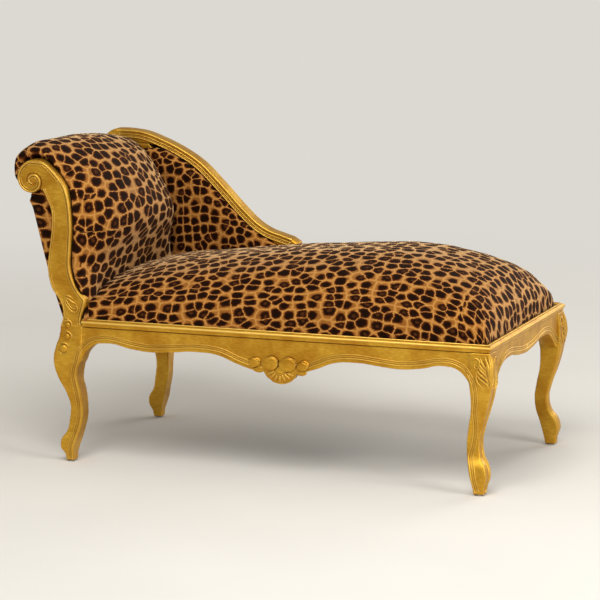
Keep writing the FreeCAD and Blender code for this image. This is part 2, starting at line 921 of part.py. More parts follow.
def roll_shrink(y):
    """The roll is full at the front and tucks under the crest rail at the back."""
    start = -150.0
    if y <= start:
        return 1.0
    return 1.0 - 0.42 * ((y - start) / (post_inner_y - start)) ** 1.6


def head_section(y, fullness, inset, base):
    corners = [(head_x + head_pad_outside, base, True), (head_x + head_pad_reach, base, True)]
    centre_x, centre_z = volute_centre
    shrink = roll_shrink(y)
    for (edge_x, edge_z), (mid_x, mid_z) in zip(head_pad_edge, head_pad_line):
        x = head_x + edge_x + (mid_x - edge_x) * fullness
        z = moulding_top + edge_z + (mid_z - edge_z) * fullness
        above = max(0.0, min(1.0, (z - centre_z + 130) / 100))
        keep = 1.0 - (1.0 - shrink) * above
        if z > centre_z - 60:
            x = centre_x + (x - centre_x) * keep
            z = centre_z + (z - centre_z) * keep
        corners.append((x, z, False))
    moved = inset_corners(corners, inset)
    moved[0] = (moved[0][0], base, True)
    moved[1] = (moved[1][0], base, True)
    return rounded_wire(moved, lambda p: Vec(p.x, y, p.y))


def head_form(inset, base):
    """From just behind the front post's face to the inner face of the back post."""
    front = -seat_half_width + inset
    back = post_inner_y - fit_gap - inset
    wires = []
    for share in (-1.0, -0.97, -0.88, -0.7, -0.4, 0.0, 0.4, 0.7, 0.88, 0.97, 1.0):
        y = front + (back - front) * (share + 1) / 2
        fullness = math.sqrt(1 - abs(share) ** 2.3)
        wires.append(head_section(y, fullness, inset, base))
    return loft(wires)


def head_hollow():
    """The space behind the webbing, down to the outside cover."""
    web = [(x + 1.5 * webbing_thickness, z) for x, z in head_web_line()]
    web.append((web[-1][0], web[-1][1] + 2 * webbing_thickness))
    cx, cz = volute_centre
    points = [(web[0][0], moulding_top - 60)] + web[1:] + [
        (cx, cz), (cx - 9, cz - 42), (cx - 140, cz - 42), (cx - 140, moulding_top - 60),
    ]
    return polygon_prism(xz(points, -half_width), Vec(0, overall_width, 0))


# Half back: the panel under the crest rail

# The panel's edge behind the head-rest pad, as distances from the head plane and over the moulding
half_back_left = [(-56, 396), (-30, 362), (-8, 315), (20, 215), (36, 120)]


def half_back_section(y, draw_in):
    """Inside the crest rail and the stile, and in behind the head-rest pad."""
    lower = crest_lower(y, crest_thickness + fit_gap)
    right = stile_left - fit_gap
    left = half_back_left
    corners = [(right, seat_base, True), (right, lower[-1].z - 26, False)]
    corners += [(p.x, p.z, False) for p in reversed(lower)]
    corners += [(head_x + a, moulding_top + z, False) for a, z in left]
    corners.append((head_x + left[-1][0], seat_base, True))
    moved = inset_corners(corners, draw_in)
    moved[0] = (moved[0][0], seat_base, True)
    moved[-1] = (moved[-1][0], seat_base, True)
    return rounded_wire(moved, lambda p: Vec(p.x, y, p.y))


def half_back_form():
    """A panel with a soft front edge, against its webbing."""
    back_y = half_width - post_set_in - lip_set_back - lip_depth - webbing_thickness - fit_gap
    front = half_back_front_y
    steps = [(back_y, 0.0), (front + 11, 0.0), (front + 4, 3.0), (front, 10.0)]
    return loft([half_back_section(y, draw_in) for y, draw_in in steps])


rail_front = side_rail()
rail_back = mirror_y(rail_front)
rail_foot = end_rail(foot_x - rail_set_in)
rail_head = end_rail(head_x + rail_set_in)
leg_front_foot = cabriole_leg(foot_leg_line, foot_leg_knee, foot_leg_end_line, foot_leg_knee, foot_x, -1)
leg_front_head = cabriole_leg(head_leg_line, head_leg_knee, head_leg_end_line, foot_leg_knee, head_x, 1)
legs = [leg_front_foot, mirror_y(leg_front_foot), leg_front_head, mirror_y(leg_front_head)]
crest = crest_rail()
post_front = front_scroll_post()
post_back = back_scroll_post(crest)
flower = apron_flower(rail_front)

# Joints of the frame
head_tenons = [post_tenon(head_x + post_tenon_in_x, side) for side in (-1, 1)]
stile_tenon = post_tenon((stile_left + stile_right) / 2, 1)
top_rail = head_top_rail()
slats = [head_slat(lower_slat_x, lower_slat_z), head_slat(middle_slat_x, middle_slat_z)]
side_tenons = [side_tenon(corner) for corner in corners]
end_tenons = [end_tenon(corner) for corner in corners]
legs = [
    cut_all(leg, [side_tenons[i], end_tenons[i]] + head_tenons)
    for i, leg in enumerate(legs)
]
rail_front = join([rail_front, side_tenons[0], side_tenons[2]])
rail_back = join([rail_back, side_tenons[1], side_tenons[3]]).cut(stile_tenon).Solids[0]
rail_foot = join([rail_foot] + end_tenons[:2])
rail_head = join([rail_head] + end_tenons[2:])
post_front = join([cut_all(post_front, [top_rail] + slats), head_tenons[0]])
post_back = join([cut_all(post_back, [top_rail] + slats), head_tenons[1]])
crest = join([cut_all(crest, [top_rail]), stile_tenon])
blocks = [corner_block(corner) for corner in corners]

# Upholstery
seat_cushion = seat_form()
head_outer = head_form(0.0, head_pad_bottom)
head_inner = head_form(cover_thickness, head_pad_bottom - 2 * cover_thickness)
hollow = head_hollow()
in_the_way = [post_front, top_rail] + slats
head_cushion = cut_all(head_outer, [hollow] + in_the_way)
head_outside = cut_all(head_outer.cut(head_inner).common(hollow), in_the_way)
half_back_cushion = cut_all(half_back_form(), [crest, post_back, head_outer])

for name, leg in zip(corner_names, legs):
    save("leg_" + name, leg)
save("rail_front", rail_front)
save("rail_back", rail_back)
save("rail_foot", rail_foot)
save("rail_head", rail_head)
save("scroll_post_front", post_front)
save("scroll_post_back", post_back)
save("crest_rail", crest)
moulding_start = head_x + leg_inner_set_in
save("moulding_front", cut_all(side_moulding(-1, moulding_start, foot_x), [corner_wedge(-1, True)]))
save("moulding_back", cut_all(side_moulding(1, stile_right, foot_x), [corner_wedge(1, True)]))
save("moulding_back_panel", side_moulding(1, moulding_start, stile_left))
save("moulding_foot", foot_moulding())
save("apron_flower", flower)
for name, block in zip(corner_names, blocks):
    save("corner_block_" + name, block)
save("seat_brace", seat_brace())
save("head_top_rail", top_rail)
save("head_lower_slat", slats[0])
save("head_middle_slat", slats[1])
save("seat_webbing_cross", cross_webbing())
save("seat_webbing_long", long_webbing())
save("seat_hessian", hessian([crest, post_front, post_back]))
save("dust_cover", dust_cover(legs))
save("head_webbing", head_webbing())
save("seat_cushion", seat_cushion)
save("head_cushion", head_cushion)
save("head_outside_cover", head_outside)
save("half_back_cushion", half_back_cushion)
save("half_back_outside_cover", half_back_outside(post_back, crest))
save("half_back_slat", half_back_slat(post_back, crest))
save("half_back_webbing", half_back_webbing())
save("foot_glides", glides())
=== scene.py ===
# %% [markdown]
# A gilded chaise longue in leopard velvet.
# The frame comes from the construction model, so every size is already right. This lesson
# carves the show wood, fills the cushions and finds the finishes. Lengths are in metres.

# %% Open the frame
import math
import bpy
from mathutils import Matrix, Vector
from mathutils.bvhtree import BVHTree


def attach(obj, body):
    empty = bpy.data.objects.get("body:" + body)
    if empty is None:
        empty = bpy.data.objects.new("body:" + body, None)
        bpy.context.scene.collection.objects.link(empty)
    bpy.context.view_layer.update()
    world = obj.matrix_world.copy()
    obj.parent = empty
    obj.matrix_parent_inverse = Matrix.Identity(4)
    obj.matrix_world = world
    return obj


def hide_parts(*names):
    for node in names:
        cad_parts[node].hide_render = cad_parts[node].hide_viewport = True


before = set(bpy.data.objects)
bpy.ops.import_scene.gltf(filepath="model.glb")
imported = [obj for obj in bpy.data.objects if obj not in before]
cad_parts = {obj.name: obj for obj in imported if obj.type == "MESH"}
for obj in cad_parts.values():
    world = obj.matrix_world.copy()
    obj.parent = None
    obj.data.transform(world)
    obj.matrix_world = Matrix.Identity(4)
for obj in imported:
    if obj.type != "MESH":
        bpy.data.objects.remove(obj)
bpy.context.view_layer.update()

# %% [markdown]
# Blender mixes light in linear values, while a colour read off a screen is an sRGB value.
# One function turns the hex code of a colour into what a socket wants, so the colours below
# can be written as a painter would note them. A second one adds a node, sets it and links it.

# %% Colours and nodes
def colour(code):
    parts = [int(code[i:i + 2], 16) / 255 for i in (0, 2, 4)]
    return tuple(p / 12.92 if p <= 0.04045 else ((p + 0.055) / 1.055) ** 2.4 for p in parts) + (1.0,)


def node(tree, kind, inputs=None, **settings):
    made = tree.nodes.new(kind)
    for name, value in settings.items():
        setattr(made, name, value)
    for socket, source in (inputs or {}).items():
        if isinstance(source, bpy.types.NodeSocket):
            tree.links.new(source, made.inputs[socket])
        else:
            made.inputs[socket].default_value = source
    return made


def new_material(name):
    material = bpy.data.materials.new(name)
    material.use_nodes = True
    material.node_tree.nodes.clear()
    return material, material.node_tree


def set_stops(ramp, stops):
    points = ramp.color_ramp.elements
    while len(points) < len(stops):
        points.new(1.0)
    for point, (place, code) in zip(points, stops):
        point.position = place
        point.color = colour(code)


def surface(tree, shader):
    node(tree, "ShaderNodeOutputMaterial", {"Surface": shader.outputs[0]})

# %% [markdown]
# The show wood is carved beech with gold paint brushed over it. Such paint is a metal powder
# in a varnish: it shines like satin, not like a mirror, and the brush leaves fine streaks.
# The painter wipes a brown wax into the hollows, and painted shade darkens them further, so every groove
# has a dark line beside a bright edge. Pointiness finds the rubbed edges and ambient occlusion finds the
# hollows.

# %% Gold paint
def gold_paint():
    material, tree = new_material("brushed_gold_paint_on_beech")
    place = node(tree, "ShaderNodeTexCoord").outputs["Object"]
    # Brush streaks a few millimetres wide and three times as long
    along = node(tree, "ShaderNodeMapping", {"Vector": place, "Scale": (1.0, 2.5, 3.5)})
    streaks = node(tree, "ShaderNodeTexNoise", {"Vector": along.outputs[0], "Scale": 70.0, "Detail": 5.0})
    tone = node(tree, "ShaderNodeValToRGB", {"Fac": streaks.outputs["Fac"]})
    set_stops(tone, [(0.30, "C8962A"), (0.50, "D2A032"), (0.72, "DEB040")])
    # Clouds of thinner and thicker paint, about 60 mm across
    clouds = node(tree, "ShaderNodeTexNoise", {"Vector": place, "Scale": 16.0, "Detail": 3.0})
    cloud_tone = node(tree, "ShaderNodeValToRGB", {"Fac": clouds.outputs["Fac"]})
    set_stops(cloud_tone, [(0.35, "E2D2B6"), (0.62, "FFFFFF")])
    base = node(tree, "ShaderNodeMix", {0: 1.0, 6: tone.outputs[0], 7: cloud_tone.outputs[0]},
                data_type="RGBA", blend_type="MULTIPLY")
    # Brown wax and painted shade darken hollows a few millimetres wide, found by ambient occlusion
    hollow = node(tree, "ShaderNodeAmbientOcclusion", {"Distance": 0.009}, samples=8)
    wax_and_painted_shade = node(tree, "ShaderNodeMapRange", {"Value": hollow.outputs["AO"], "From Min": 0.35,
                                                   "From Max": 0.85, "To Min": 1.0, "To Max": 0.0})
    waxed_and_shaded = node(tree, "ShaderNodeMix", {0: wax_and_painted_shade.outputs[0], 6: base.outputs[2], 7: colour("5A3608")},
                 data_type="RGBA")
    # Rubbed edges show a paler gold
    edge = node(tree, "ShaderNodeNewGeometry")
    rub = node(tree, "ShaderNodeMapRange", {"Value": edge.outputs["Pointiness"], "From Min": 0.53,
                                            "From Max": 0.62})
    rubbed = node(tree, "ShaderNodeMix", {0: rub.outputs[0], 6: waxed_and_shaded.outputs[2], 7: colour("F0C660")},
                  data_type="RGBA")
    rough = node(tree, "ShaderNodeMapRange", {"Value": streaks.outputs["Fac"], "From Min": 0.3,
                                              "From Max": 0.7, "To Min": 0.36, "To Max": 0.5})
    grain = node(tree, "ShaderNodeBump", {"Height": streaks.outputs["Fac"], "Strength": 0.15,
                                          "Distance": 0.0005})
    shader = node(tree, "ShaderNodeBsdfPrincipled", {
        "Base Color": rubbed.outputs[2], "Metallic": 0.8, "Roughness": rough.outputs[0],
        "Normal": grain.outputs[0],
        "Specular IOR Level": 0.3,
    })
    surface(tree, shader)
    return material


gold = gold_paint()

# %% [markdown]
# The cover is a cotton velvet printed with leopard spots. The spots are dark rounded blotches
# with a brown rim, close together, so the tan ground shows as a net that widens where three
# spots meet. A Voronoi pattern gives both: its distance to the edge draws the net, and its
# distance to the cell's point rounds the blotch. The smaller of the two is the way into the
# spot. The print lies on the cloth, so it follows a UV map in metres, and noise bends the
# outlines as a printer's drawing would.

# %% Leopard velvet
spot_pitch = 0.036


def leopard_velvet():
    material, tree = new_material("printed_leopard_cotton_velvet")
    cloth = node(tree, "ShaderNodeUVMap", uv_map="print").outputs[0]
    bend = node(tree, "ShaderNodeTexNoise", {"Vector": cloth, "Scale": 42.0, "Detail": 2.0})
    bent = node(tree, "ShaderNodeVectorMath", {0: bend.outputs["Color"], 1: (0.5, 0.5, 0.5)},
                operation="SUBTRACT")
    bent_size = node(tree, "ShaderNodeVectorMath", {0: bent.outputs[0], "Scale": 0.014}, operation="SCALE")
    hairs = node(tree, "ShaderNodeTexNoise", {"Vector": cloth, "Scale": 260.0, "Detail": 3.0})
    hair = node(tree, "ShaderNodeVectorMath", {0: hairs.outputs["Color"], 1: (0.5, 0.5, 0.5)},
                operation="SUBTRACT")
    hair_size = node(tree, "ShaderNodeVectorMath", {0: hair.outputs[0], "Scale": 0.008}, operation="SCALE")
    moved = node(tree, "ShaderNodeVectorMath", {0: cloth, 1: bent_size.outputs[0]}, operation="ADD")
    drawn = node(tree, "ShaderNodeVectorMath", {0: moved.outputs[0], 1: hair_size.outputs[0]},
                 operation="ADD")
    net = node(tree, "ShaderNodeTexVoronoi", {"Vector": drawn.outputs[0], "Scale": 1 / spot_pitch,
                                              "Randomness": 0.72},
               feature="DISTANCE_TO_EDGE", voronoi_dimensions="2D")
    cells = node(tree, "ShaderNodeTexVoronoi", {"Vector": drawn.outputs[0], "Scale": 1 / spot_pitch,
                                                "Randomness": 0.72},
                 feature="F1", voronoi_dimensions="2D")
    one = node(tree, "ShaderNodeSeparateColor", {"Color": cells.outputs["Color"]})
    # How far a place lies inside its spot, as a share of the pitch
    radius = node(tree, "ShaderNodeMapRange", {"Value": one.outputs[1], "To Min": 0.43, "To Max": 0.56})
    from_rim = node(tree, "ShaderNodeMath", {0: radius.outputs[0], 1: cells.outputs["Distance"]},
                    operation="SUBTRACT")
    from_net = node(tree, "ShaderNodeMath", {0: net.outputs["Distance"], 1: 0.024}, operation="SUBTRACT")
    inside = node(tree, "ShaderNodeMath", {0: from_rim.outputs[0], 1: from_net.outputs[0], 2: 0.14},
                  operation="SMOOTH_MIN")
    # The ground is palest along the middle of the net
    ground = node(tree, "ShaderNodeValToRGB", {"Fac": net.outputs["Distance"]})
    set_stops(ground, [(0.0, "BF8746"), (0.06, "A87234"), (0.16, "8A5622")])
    spots = node(tree, "ShaderNodeValToRGB", {"Fac": inside.outputs[0]})
    set_stops(spots, [(0.0, "703D18"), (0.05, "4C240F"), (0.12, "2E150A"), (0.19, "190D08")])
    # Some spots are open rosettes with a brown middle
    open_spot = node(tree, "ShaderNodeMath", {0: one.outputs[0], 1: 0.74}, operation="GREATER_THAN")
    middle = node(tree, "ShaderNodeMapRange", {"Value": cells.outputs["Distance"], "From Min": 0.08,
                                               "From Max": 0.22, "To Min": 0.40, "To Max": 0.0})
    rosette = node(tree, "ShaderNodeMath", {0: open_spot.outputs[0], 1: middle.outputs[0]},
                   operation="MULTIPLY")
    rosettes = node(tree, "ShaderNodeMix", {0: rosette.outputs[0], 6: spots.outputs[0], 7: colour("6A3A1C")},
                    data_type="RGBA")
    covered = node(tree, "ShaderNodeMapRange", {"Value": inside.outputs[0], "From Min": -0.015,
                                                "From Max": 0.02})
    printed = node(tree, "ShaderNodeMix", {0: covered.outputs[0], 6: ground.outputs[0],
                                           7: rosettes.outputs[2]}, data_type="RGBA")
    # The sheen is light on the tips of the pile, pale on the ground and weak on the dark dye
    tips = node(tree, "ShaderNodeMix", {0: covered.outputs[0], 6: colour("F6D4A0"), 7: colour("4A382C")},
                data_type="RGBA")
    # The pile leans a little differently from place to place
    pile = node(tree, "ShaderNodeTexNoise", {"Vector": cloth, "Scale": 1400.0, "Detail": 2.0})
    rough = node(tree, "ShaderNodeMapRange", {"Value": pile.outputs["Fac"], "To Min": 0.66, "To Max": 0.88})
    nap = node(tree, "ShaderNodeBump", {"Height": pile.outputs["Fac"], "Strength": 0.3, "Distance": 0.0006})
    shader = node(tree, "ShaderNodeBsdfPrincipled", {
        "Base Color": printed.outputs[2], "Roughness": rough.outputs[0], "Normal": nap.outputs[0],
        "Sheen Weight": 1.0, "Sheen Roughness": 0.38, "Sheen Tint": tips.outputs[2],
        "Specular IOR Level": 0.05, "Specular Tint": colour("D89050"),
    })
    surface(tree, shader)
    return material


velvet = leopard_velvet()

# %% [markdown]
# What no one sees still has its own stuff: jute webbing, hessian, a black dust cover, plain
# beech for the inner frame and nickel-plated glides under the feet. Each one is a weave or a
# grain at its real scale.

# %% Hidden materials
def woven(name, light, dark, thread, roughness):
    """Over and under threads of that spacing, drawn as two crossed waves."""
    material, tree = new_material(name)
    place = node(tree, "ShaderNodeTexCoord").outputs["Object"]
    one_way = node(tree, "ShaderNodeTexWave", {"Vector": place, "Scale": 1 / (thread * 3.2),
                                               "Distortion": 1.5, "Detail Scale": 4.0}, bands_direction="X")
    other_way = node(tree, "ShaderNodeTexWave", {"Vector": place, "Scale": 1 / (thread * 3.2),
                                                 "Distortion": 1.5, "Detail Scale": 4.0}, bands_direction="Y")
    weave = node(tree, "ShaderNodeMath", {0: one_way.outputs["Fac"], 1: other_way.outputs["Fac"]},
                 operation="MULTIPLY")
    tone = node(tree, "ShaderNodeValToRGB", {"Fac": weave.outputs[0]})
    set_stops(tone, [(0.05, dark), (0.6, light)])
    relief = node(tree, "ShaderNodeBump", {"Height": weave.outputs[0], "Strength": 0.5,
                                           "Distance": thread / 4})
    shader = node(tree, "ShaderNodeBsdfPrincipled",
                  {"Base Color": tone.outputs[0], "Roughness": roughness, "Normal": relief.outputs[0]})
    surface(tree, shader)
    return material


def plain_beech():
    material, tree = new_material("planed_beech")
    place = node(tree, "ShaderNodeTexCoord").outputs["Object"]
    long_way = node(tree, "ShaderNodeMapping", {"Vector": place, "Scale": (1.0, 1.0, 12.0)})
    grain = node(tree, "ShaderNodeTexNoise", {"Vector": long_way.outputs[0], "Scale": 40.0, "Detail": 6.0,
                                              "Distortion": 0.6})
    tone = node(tree, "ShaderNodeValToRGB", {"Fac": grain.outputs["Fac"]})
    set_stops(tone, [(0.35, "C79A6B"), (0.65, "E2BE92")])
    relief = node(tree, "ShaderNodeBump", {"Height": grain.outputs["Fac"], "Strength": 0.15,
                                           "Distance": 0.0005})
    shader = node(tree, "ShaderNodeBsdfPrincipled",
                  {"Base Color": tone.outputs[0], "Roughness": 0.55, "Normal": relief.outputs[0]})
    surface(tree, shader)
    return material


def nickel_plate():
    material, tree = new_material("nickel_plated_steel")
    place = node(tree, "ShaderNodeTexCoord").outputs["Object"]
    scuffs = node(tree, "ShaderNodeTexNoise", {"Vector": place, "Scale": 900.0, "Detail": 3.0})
    tone = node(tree, "ShaderNodeValToRGB", {"Fac": scuffs.outputs["Fac"]})
    set_stops(tone, [(0.3, "A9A59C"), (0.7, "C9C6BE")])
    rough = node(tree, "ShaderNodeMapRange", {"Value": scuffs.outputs["Fac"], "To Min": 0.22, "To Max": 0.45})
    shader = node(tree, "ShaderNodeBsdfPrincipled",
                  {"Base Color": tone.outputs[0], "Metallic": 1.0, "Roughness": rough.outputs[0]})
    surface(tree, shader)
    return material


jute = woven("jute_webbing", "B99A6A", "7A5E38", 0.0018, 0.9)
sacking = woven("jute_hessian", "C6AA7C", "6B5232", 0.0016, 0.9)
lining = woven("black_dust_lining", "26262A", "101012", 0.0012, 0.85)
beech = plain_beech()
nickel = nickel_plate()

# %% [markdown]
# Before any tool acts, everything is deselected and one object is made active, as a click
# would do. A twin is a copy of a node of the frame whose loose triangles have been merged.
# It can be worked on freely, while the node itself stays as it was, hidden behind its twin.

# %% Picking, copying, finishing
def pick(*objects):
    bpy.ops.object.select_all(action="DESELECT")
    for one in objects:
        one.select_set(True)
    bpy.context.view_layer.objects.active = objects[0]


def shape_by(obj, kind, **settings):
    """Adds one modifier and applies it."""
    pick(obj)
    modifier = obj.modifiers.new(kind.lower(), kind)
    for name, value in settings.items():
        setattr(modifier, name, value)
    bpy.ops.object.modifier_apply(modifier=modifier.name)


def twin(node_name, piece_name):
    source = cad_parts[node_name]
    copy = source.copy()
    copy.data = source.data.copy()
    copy.parent = None
    for key in list(copy.keys()):
        del copy[key]
    bpy.context.scene.collection.objects.link(copy)
    copy.name = piece_name
    copy.data.name = piece_name
    copy.data.materials.clear()
    pick(copy)
    bpy.ops.mesh.customdata_custom_splitnormals_clear()
    bpy.ops.object.mode_set(mode="EDIT")
    bpy.ops.mesh.select_all(action="SELECT")
    bpy.ops.mesh.remove_doubles(threshold=0.00002)
    bpy.ops.object.mode_set(mode="OBJECT")
    return copy


def hand_over(obj, material, slot_name, *nodes):
    """Gives the piece its finish, its body and the nodes that it stands for."""
    obj.data.materials.clear()
    obj.data.materials.append(material)
    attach(obj, "root")
    if nodes:
        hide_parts(*nodes)
    print(obj.name, len(obj.data.polygons), "faces")


def join(objects, name):
    pick(*objects)
    bpy.ops.object.join()
    objects[0].name = name
    objects[0].data.name = name
    return objects[0]

# %% [markdown]
# A carver glues legs, rails and posts together first and carves across the joints, so the
# faces run over from one piece into the next. To do the same, the twins of those ten parts are
# joined and rebuilt in small even squares, a voxel remesh. That also rounds every sharp edge,
# as sandpaper would. Then the steps at the joints are smoothed away, and the whole is
# separated again at the joint lines into the pieces it was made of.

# %% The frame, carved as one
wood = {}
corners = ("front_foot", "back_foot", "front_head", "back_head")
legs = ["leg_" + corner for corner in corners]
rails = ["rail_" + side for side in ("front", "back", "foot", "head")]
posts = ["scroll_post_front", "scroll_post_back"]
joint_x = (-0.4795, 0.6395)
joint_y = 0.3005
rail_top = 0.388

whole = join([twin(name, "frame_" + name) for name in legs + rails + posts], "carved_frame")
shape_by(whole, "REMESH", mode="VOXEL", voxel_size=0.0021)
print("frame in one piece:", len(whole.data.polygons), "faces")


def ramp(value, low, high):
    t = max(0.0, min(1.0, (value - low) / (high - low)))
    return t * t * (3 - 2 * t)


def at_joint(place, normal):
    """1 where a rail or a post meets a leg, 0 some 30 mm from there and on edges that stay crisp."""
    off_rail = 1.0
    if abs(place.y) > joint_y:
        off_rail = min(abs(place.x - x) for x in joint_x)
    elif place.x > joint_x[1] or place.x < joint_x[0]:
        off_rail = abs(abs(place.y) - joint_y)
    near_rail = (1 - ramp(off_rail, 0.008, 0.030)) * (1 - ramp(place.z, 0.376, 0.386)) * ramp(place.z, 0.280,
                                                                                              0.300)
    near_rail *= 1 - ramp(abs(normal.z), 0.30, 0.60)
    near_post = 0.0
    if place.x < joint_x[0]:
        near_post = 1 - ramp(abs(place.z - rail_top), 0.006, 0.026)
        near_post *= 1 - ramp(min(abs(normal.x), abs(normal.y)), 0.20, 0.45)
    # Inside, the end of the arch runs over into the leg
    arch_end = 1 - ramp(abs(place.z - 0.289), 0.006, 0.024)
    inward = 0.692 - place.x if place.x > 0 else place.x + 0.535
    arch_end *= ramp(0.352 - abs(place.y), 0.0, 0.006) * ramp(inward, 0.0, 0.006)
    return max(near_rail, near_post, arch_end)


blend = whole.vertex_groups.new(name="joints")
for v in whole.data.vertices:
    weight = at_joint(v.co, v.normal)
    if weight > 0:
        blend.add([v.index], weight, "REPLACE")
shape_by(whole, "SMOOTH", factor=0.5, iterations=90, vertex_group="joints")
shape_by(whole, "SMOOTH", factor=0.5, iterations=6)

# %% [markdown]
# Each face is marked with the part it belongs to by a plain material of that part's name.
# Separating by material then gives one object a part. The cuts lie inside the joints, where
# each piece is closed with a flat face.

# %% Back into its parts
def part_at(place):
    end = "foot" if place.x > 0 else "head"
    side = "front" if place.y < 0 else "back"
    if place.z > rail_top + 0.001 and place.x < joint_x[0] + 0.03:
        return "scroll_post_" + side
    past = place.x > joint_x[1] or place.x < joint_x[0]
    if place.z < 0.290 or (past and abs(place.y) > joint_y):
        return "leg_" + side + "_" + end
    return "rail_" + side if abs(place.y) > joint_y else "rail_" + end


names = legs + rails + posts
whole.data.materials.clear()
marks = {name: bpy.data.materials.new("mark_" + name) for name in names}
for mark in marks.values():
    whole.data.materials.append(mark)
for face in whole.data.polygons:
    face.material_index = names.index(part_at(face.center))
pick(whole)
bpy.ops.object.mode_set(mode="EDIT")
bpy.ops.mesh.select_all(action="SELECT")
bpy.ops.mesh.separate(type="MATERIAL")
bpy.ops.object.mode_set(mode="OBJECT")


def close_up(piece):
    """Fills the cuts with flat faces and shades the rest smooth."""
    pick(piece)
    bpy.ops.object.mode_set(mode="EDIT")
    bpy.ops.mesh.select_all(action="SELECT")
    bpy.ops.mesh.fill_holes(sides=0)
    bpy.ops.mesh.select_all(action="SELECT")
    bpy.ops.mesh.normals_make_consistent(inside=False)
    bpy.ops.object.mode_set(mode="OBJECT")
    bpy.ops.object.shade_smooth()
    for face in piece.data.polygons:
        face.use_smooth = len(face.vertices) <= 4


for piece in list(bpy.context.selected_objects):
    held = piece.material_slots[piece.data.polygons[0].material_index].material
    name = next(n for n in names if marks[n] == held)
    close_up(piece)
    piece.vertex_groups.clear()
    piece.name = name.replace("scroll_", "carved_").replace("leg_", "carved_leg_").replace("rail_",
                                                                                           "carved_rail_")
    piece.data.name = piece.name
    for face in piece.data.polygons:
        face.material_index = 0
    hand_over(piece, gold, name, name)
    wood[name] = piece
for mark in marks.values():
    bpy.data.materials.remove(mark)

# %% [markdown]
# The crest rail, the mouldings and the flower are carved on their own and put on afterwards,
# so each keeps its own fine edge. The squares are 1 to 2 mm.

# %% Crest rail and mouldings
def carve_from(node_name, piece_name, square, passes):
    piece = twin(node_name, piece_name)
    shape_by(piece, "REMESH", mode="VOXEL", voxel_size=square)
    shape_by(piece, "SMOOTH", factor=0.5, iterations=passes)
    pick(piece)
    bpy.ops.object.shade_smooth()
    hand_over(piece, gold, node_name, node_name)
    wood[node_name] = piece


carve_from("crest_rail", "carved_crest_rail", 0.0018, 5)
for side in ("front", "back", "back_panel", "foot"):
    carve_from("moulding_" + side, "carved_moulding_" + side, 0.0020, 2)

# %% [markdown]
# The beads are the thin raised lines that follow the lower edge of each rail and run on down
# the legs. Their path is drawn flat, as on a paper pattern, then pressed on to the wood by a
# ray, so that it lies on the curved face of the leg too. A round cord of wood along that path,
# sunk to its middle, is a bead.

# %% Lines on the wood
def smooth_line(points, step=0.004):
    """An even walk along a smooth curve through the points."""
    points = [Vector(p) for p in points]
    ends = [points[0] * 2 - points[1]] + points + [points[-1] * 2 - points[-2]]
    fine = []
    for a, b, c, d in zip(ends, ends[1:], ends[2:], ends[3:]):
        count = max(2, int((c - b).length / (step / 4)))
        for i in range(count):
            t = i / count
            fine.append(0.5 * (2 * b + (c - a) * t + (2 * a - 5 * b + 4 * c - d) * t * t
                               + (3 * b - a - 3 * c + d) * t ** 3))
    fine.append(points[-1])
    walk = [fine[0]]
    gone = 0.0
    for before, after in zip(fine, fine[1:]):
        gone += (after - before).length
        if gone >= step:
            walk.append(after)
            gone = 0.0
    return walk


def shifted(line, distance, flat):
    """The line moved sideways in its plane. flat names the plane's normal."""
    moved = []
    for i, point in enumerate(line):
        ahead = line[min(i + 1, len(line) - 1)] - line[max(i - 1, 0)]
        away = ahead.cross(Vector(flat)).normalized()
        far = distance(i / (len(line) - 1)) if callable(distance) else distance
        moved.append(point + away * far)
    return moved


trees = [BVHTree.FromObject(piece, bpy.context.evaluated_depsgraph_get()) for piece in wood.values()]


def press(line, way):
    """Each point goes along the way until it meets the wood."""
    way = Vector(way).normalized()
    landed = []
    for point in line:
        hits = [tree.ray_cast(point - way * 0.3, way) for tree in trees]
        hits = [hit for hit in hits if hit[0] is not None]
        if hits:
            landed.append(min(hits, key=lambda hit: hit[3])[0])
    return landed


def bead(line, radius, taper=False, sides=2):
    """A cord of wood along the line, thin at its ends where it tapers."""
    curve = bpy.data.curves.new("bead", "CURVE")
    curve.dimensions = "3D"
    curve.bevel_depth = 1.0
    curve.bevel_resolution = sides
    curve.use_fill_caps = True
    spline = curve.splines.new("POLY")
    spline.points.add(len(line) - 1)
    for i, point in enumerate(line):
        share = i / (len(line) - 1)
        spline.points[i].co = (*point, 1.0)
        spline.points[i].radius = radius * (max(0.08, math.sin(math.pi * share) ** 0.7) if taper else 1.0)
    obj = bpy.data.objects.new("bead", curve)
    bpy.context.scene.collection.objects.link(obj)
    pick(obj)
    bpy.ops.object.convert(target="MESH")
    bpy.ops.object.shade_smooth()
    return bpy.context.view_layer.objects.active

# %% [markdown]
# The pattern of the front is one line: up the inner edge of the foot leg, along the wave of
# the rail and down the head leg. The numbers are in millimetres along the chaise and up from
# the floor. Three beads keep 11 to 22 mm from that edge on the rail and draw closer to it on
# the legs.

# %% Beads of the long rails
# Patterns are drawn on a plane this far from the middle, then pressed in on to the wood
side_plane = 0.36


def metres(points, y=None, x=None):
    if y is not None:
        return [Vector((a / 1000, y, b / 1000)) for a, b in points]
    return [Vector((x, a / 1000, b / 1000)) for a, b in points]


foot_leg_edge = [(654, 8), (651, 21), (645, 50), (639, 76), (632, 104), (639, 140), (644, 184), (642, 225),
                 (643, 262)]
head_leg_edge = [(-516, 8), (-515, 22), (-511, 44), (-505, 63), (-498, 88), (-490, 123), (-488, 160),
                 (-490, 200), (-493, 240), (-490, 262)]
flower_x = 95


def long_wave(start, end):
    """The rail's lower edge from the flower to a leg."""
    span = end - start
    shares = [(0.20, 312), (0.30, 333), (0.42, 338), (0.54, 332), (0.64, 328), (0.74, 333), (0.86, 345)]
    turn = 1 if span > 0 else -1
    middle = [(start + span * share, z) for share, z in shares]
    return [(start + 62 * turn, 297)] + middle + [(end - 35 * turn, 338), (end - 10 * turn, 315), (end, 288)]


